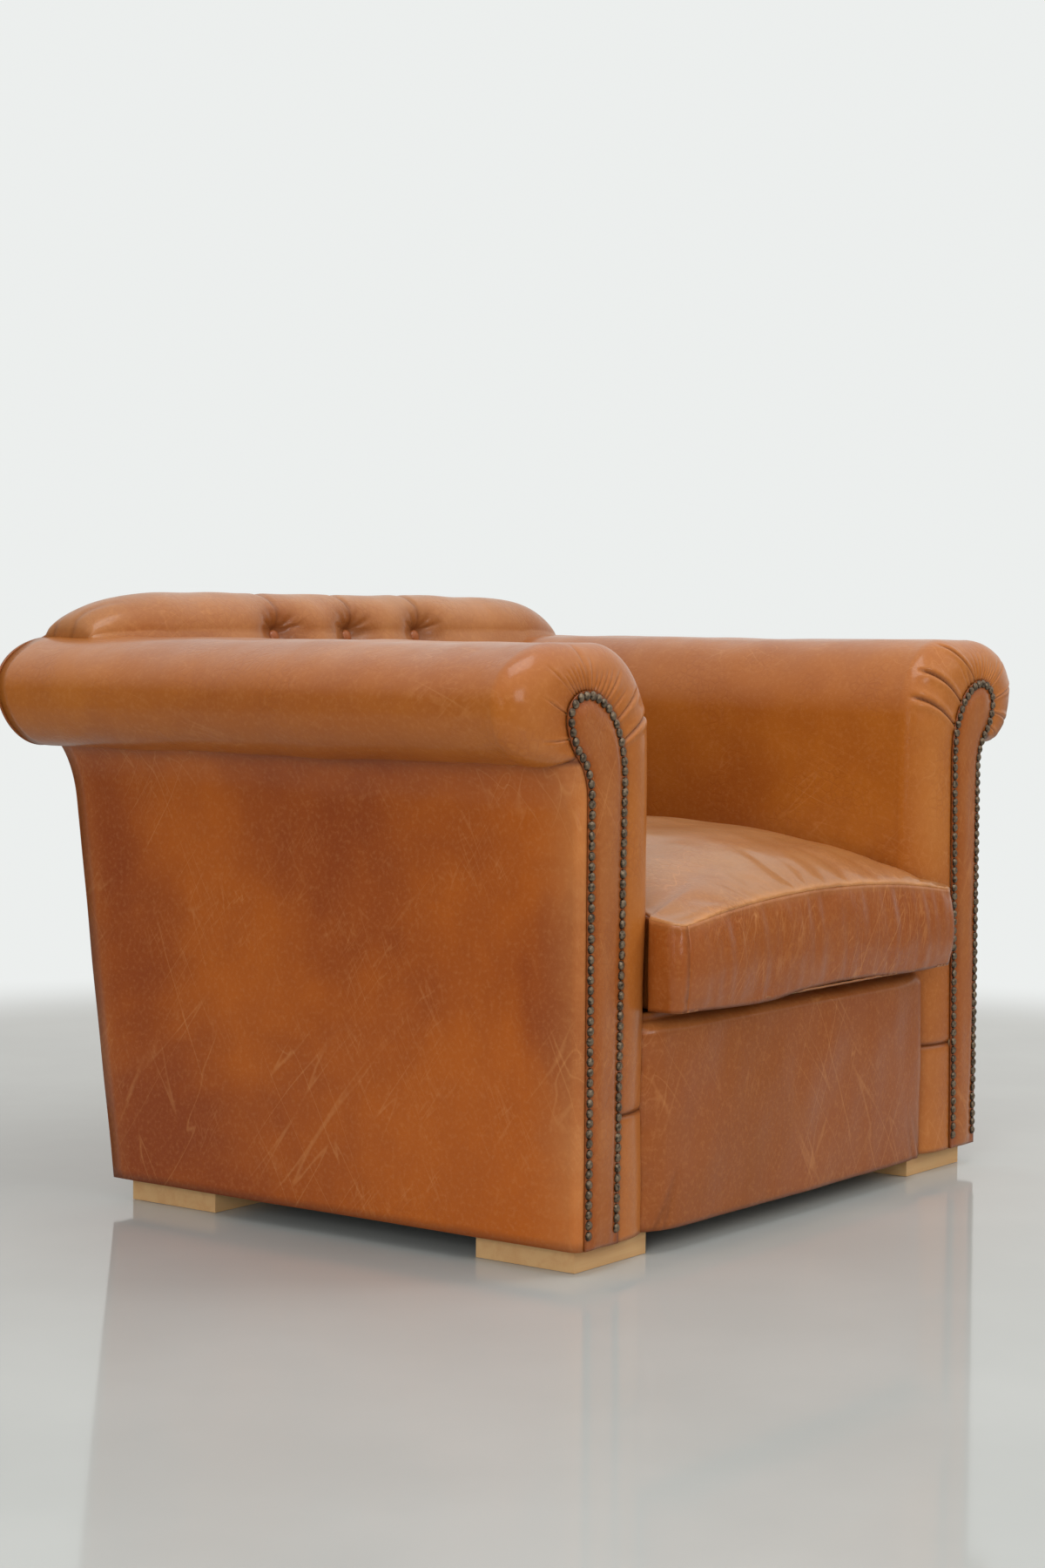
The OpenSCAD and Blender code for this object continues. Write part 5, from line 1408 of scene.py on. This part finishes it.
def puff_up(top, bottom, band, rim):
    """Fills the sewn cushion like cloth under pressure, and returns how each panel creased."""
    rows, cols = top.shape[:2]
    inner_band = band[1:-1]
    top_index = np.arange(rows * cols).reshape(rows, cols)
    bottom_index = top_index + rows * cols
    band_index = 2 * rows * cols + np.arange(inner_band[..., 0].size).reshape(inner_band.shape[:2])
    rim_top = np.array([top_index[i, j] for i, j in rim])
    rim_bottom = np.array([bottom_index[i, j] for i, j in rim])
    band_index = np.concatenate([rim_bottom[None], band_index, rim_top[None]])
    band_index = np.concatenate([band_index, band_index[:, :1]], 1)
    quads = np.concatenate([quads_of(top_index), quads_of(bottom_index)[:, ::-1], quads_of(band_index)])
    start = np.concatenate([top.reshape(-1, 3), bottom.reshape(-1, 3), inner_band.reshape(-1, 3)])
    mesh = bpy.data.meshes.new("cushion_cloth")
    mesh.from_pydata(start.tolist(), [], quads.tolist())
    sack = bpy.data.objects.new("cushion_cloth", mesh)
    bpy.context.scene.collection.objects.link(sack)
    seam = sack.vertex_groups.new(name="seam")
    seam.add(np.unique(np.concatenate([rim_top, rim_bottom])).tolist(), 1.0, "REPLACE")
    cloth = sack.modifiers.new("cloth", "CLOTH")
    cloth.settings.quality = 6
    cloth.settings.mass = 0.25
    cloth.settings.tension_stiffness = 30.0
    cloth.settings.compression_stiffness = 30.0
    cloth.settings.shear_stiffness = 12.0
    cloth.settings.bending_stiffness = 1.2
    cloth.settings.use_pressure = True
    cloth.settings.uniform_pressure_force = PRESSURE
    cloth.settings.effector_weights.gravity = 0.0
    cloth.settings.vertex_group_shrink = "seam"
    cloth.settings.shrink_min = -SPARE_HIDE
    cloth.settings.shrink_max = 0.01
    cloth.settings.vertex_group_mass = "seam"
    cloth.settings.pin_stiffness = 0.6
    cloth.collision_settings.use_collision = False
    for frame_number in range(1, SIM_FRAMES + 1):
        bpy.context.scene.frame_set(frame_number)
    seen_cloth = sack.evaluated_get(bpy.context.evaluated_depsgraph_get())
    ended = np.zeros(len(start) * 3)
    seen_cloth.data.vertices.foreach_get("co", ended)
    bpy.data.objects.remove(sack)
    bpy.data.meshes.remove(mesh)
    bpy.context.scene.frame_set(1)
    moved = ended.reshape(-1, 3) - start
    moved *= np.minimum(1, CLOTH_CAP / np.maximum(np.linalg.norm(moved, axis=1, keepdims=True), 1e-9))
    return moved[top_index], moved[bottom_index], moved[band_index]


# its body is paler and greyer than the arms' hide, a painted sheen on the seat's top
cushion_hide = hide_material(
    "cushion_hide", mottle=0.35, scratches=0.45, creases=0.6,
    body=(0.345, 0.155, 0.054, 1.0),
    run=(0.55, 0.83, 0.0), cross=(-0.35, 0.94, 0.0))
# its body is much darker than the arms' hide, as painted shade on the band's forward faces
band_hide = hide_material(
    "cushion_band_hide", mottle=0.6, scratches=0.40, creases=0.6,
    body=(0.258, 0.057, 0.0022, 1.0),
    run=(0.10, 0.0, 0.99), cross=(0.50, 0.0, 0.87))
u, v = np.meshgrid(cushion_u, cushion_v)
x, y = cushion_plan(u, v, SEAM_IN)
crown_share = bowl(u, v)
near_edge = np.minimum((1 - np.abs(u)) * CUSHION_HALF, np.minimum(v, 1 - v) * CUSHION_D)
ridge = np.exp(-(near_edge / 0.004) ** 2)
top = np.stack([x, y, seam_height(u, v) + CROWN * crown_share], -1)
swell = ripples(top, 81, 0.17, 0.0020) + ripples(top, 82, 0.07, 0.0006)
pucker = ripples(top * np.array([1.0, 1.0, 0.2]), 83, 0.022, 0.0007) * clamp(1 - crown_share / 0.18)
top[..., 2] += (swell + pucker) * clamp(crown_share * 4)
bottom = np.stack([x, y, CUSHION_Z + BOTTOM_CROWN * (1 - crown_share)], -1)

# the band: its foot and its head follow the two panels' edges all the way round
rim = ([(0, j) for j in range(len(cushion_u))]
       + [(i, len(cushion_u) - 1) for i in range(1, len(cushion_v))]
       + [(len(cushion_v) - 1, j) for j in range(len(cushion_u) - 2, -1, -1)]
       + [(i, 0) for i in range(len(cushion_v) - 2, 0, -1)])
rim_u = np.array([cushion_u[j] for i, j in rim])
rim_v = np.array([cushion_v[i] for i, j in rim])
share = np.linspace(0, 1, BAND_ROWS)[:, None]
pinch = SEAM_IN * (2 * share - 1) ** 2
bx, by = cushion_plan(rim_u[None, :], rim_v[None, :], pinch)
foot_wave = FOOT_WAVE * np.sin(rim_u * 5.0 + 0.9) + FOOT_STEP * np.tanh((rim_u + 0.3) * 12)
foot_z = CUSHION_Z + BOTTOM_CROWN + foot_wave * (rim_v < 0.01)
band = np.stack([bx, by, foot_z[None, :] + (seam_height(rim_u, rim_v) - foot_z)[None, :] * share], -1)
in_front = clamp((0.075 - rim_v) / 0.02)[None, :]
swell = ripples(band, 92, 0.15, 0.0014) + ripples(band * np.array([1.0, 1.0, 0.22]), 91, 0.030, 0.0009)
swell += BAND_FULL * np.sin(math.pi * share)
swell *= clamp(np.minimum(share, 1 - share) * 8) * in_front
band = band + normals_of(band) * swell[..., None]

top_crease, bottom_crease, band_crease = puff_up(top, bottom, band, rim)
band_crease = band_crease[:, :-1]
top += (top_crease - blurred(top_crease, SWELL_REACH) * TOP_SWELL_OFF) * PANEL_CREASES
bottom += (bottom_crease - blurred(bottom_crease, SWELL_REACH)) * PANEL_CREASES
band += (band_crease - blurred(band_crease, SWELL_REACH)) * BAND_CREASES * in_front[..., None]

top_wear = 0.75 * ridge + 0.16 + 0.2 * clamp(ripples(top, 84, 0.12, 1.0))
# painted shade at the band's foot and just under its top seam
band_fold = 0.5 * np.exp(-(share / 0.03) ** 2) + 0.22 * np.exp(-((1 - share - 0.03) / 0.022) ** 2)
band_fold = band_fold * np.ones(len(rim))
band_wear = (0.55 * np.exp(-((1 - share) / 0.05) ** 2) + 0.12) * np.ones(len(rim))
closed = [np.concatenate([values, values[:, :1]], 1) for values in (band, band_fold, band_wear)]
# painted shade along the band's seams and the bottom's edges, and pale wear on the top's edges
top_mesh = grid_mesh("cushion_top", top, fold=np.zeros(ridge.shape), wear=top_wear)
bottom_mesh = grid_mesh("cushion_bottom", bottom[:, ::-1], fold=ridge[:, ::-1] * 0.3, wear=ridge * 0.2)
band_mesh = grid_mesh("cushion_band", closed[0], fold=closed[1], wear=closed[2])
for name, material, mesh, replaced in (
    ("cushion_top_hide", cushion_hide, top_mesh, ("cushion_top_panel", "cushion_core")),
    ("cushion_bottom_hide", cushion_hide, bottom_mesh, ("cushion_bottom_panel",)),
    ("cushion_band_hide", band_hide, band_mesh, ("cushion_boxing",)),
):
    piece = show(name, mesh, material, "seat_cushion", "tan_leather", *replaced)
    leather_back(piece)

ZIP_BRASS = (0.30, 0.24, 0.15, 1.0)
zip_metal, tree, output = new_material("zip_metal")
lay_surface(tree, output, {"Base Color": ZIP_BRASS, "Metallic": 1.0, "Roughness": 0.35})
dress(zip_metal, "zip_slider")
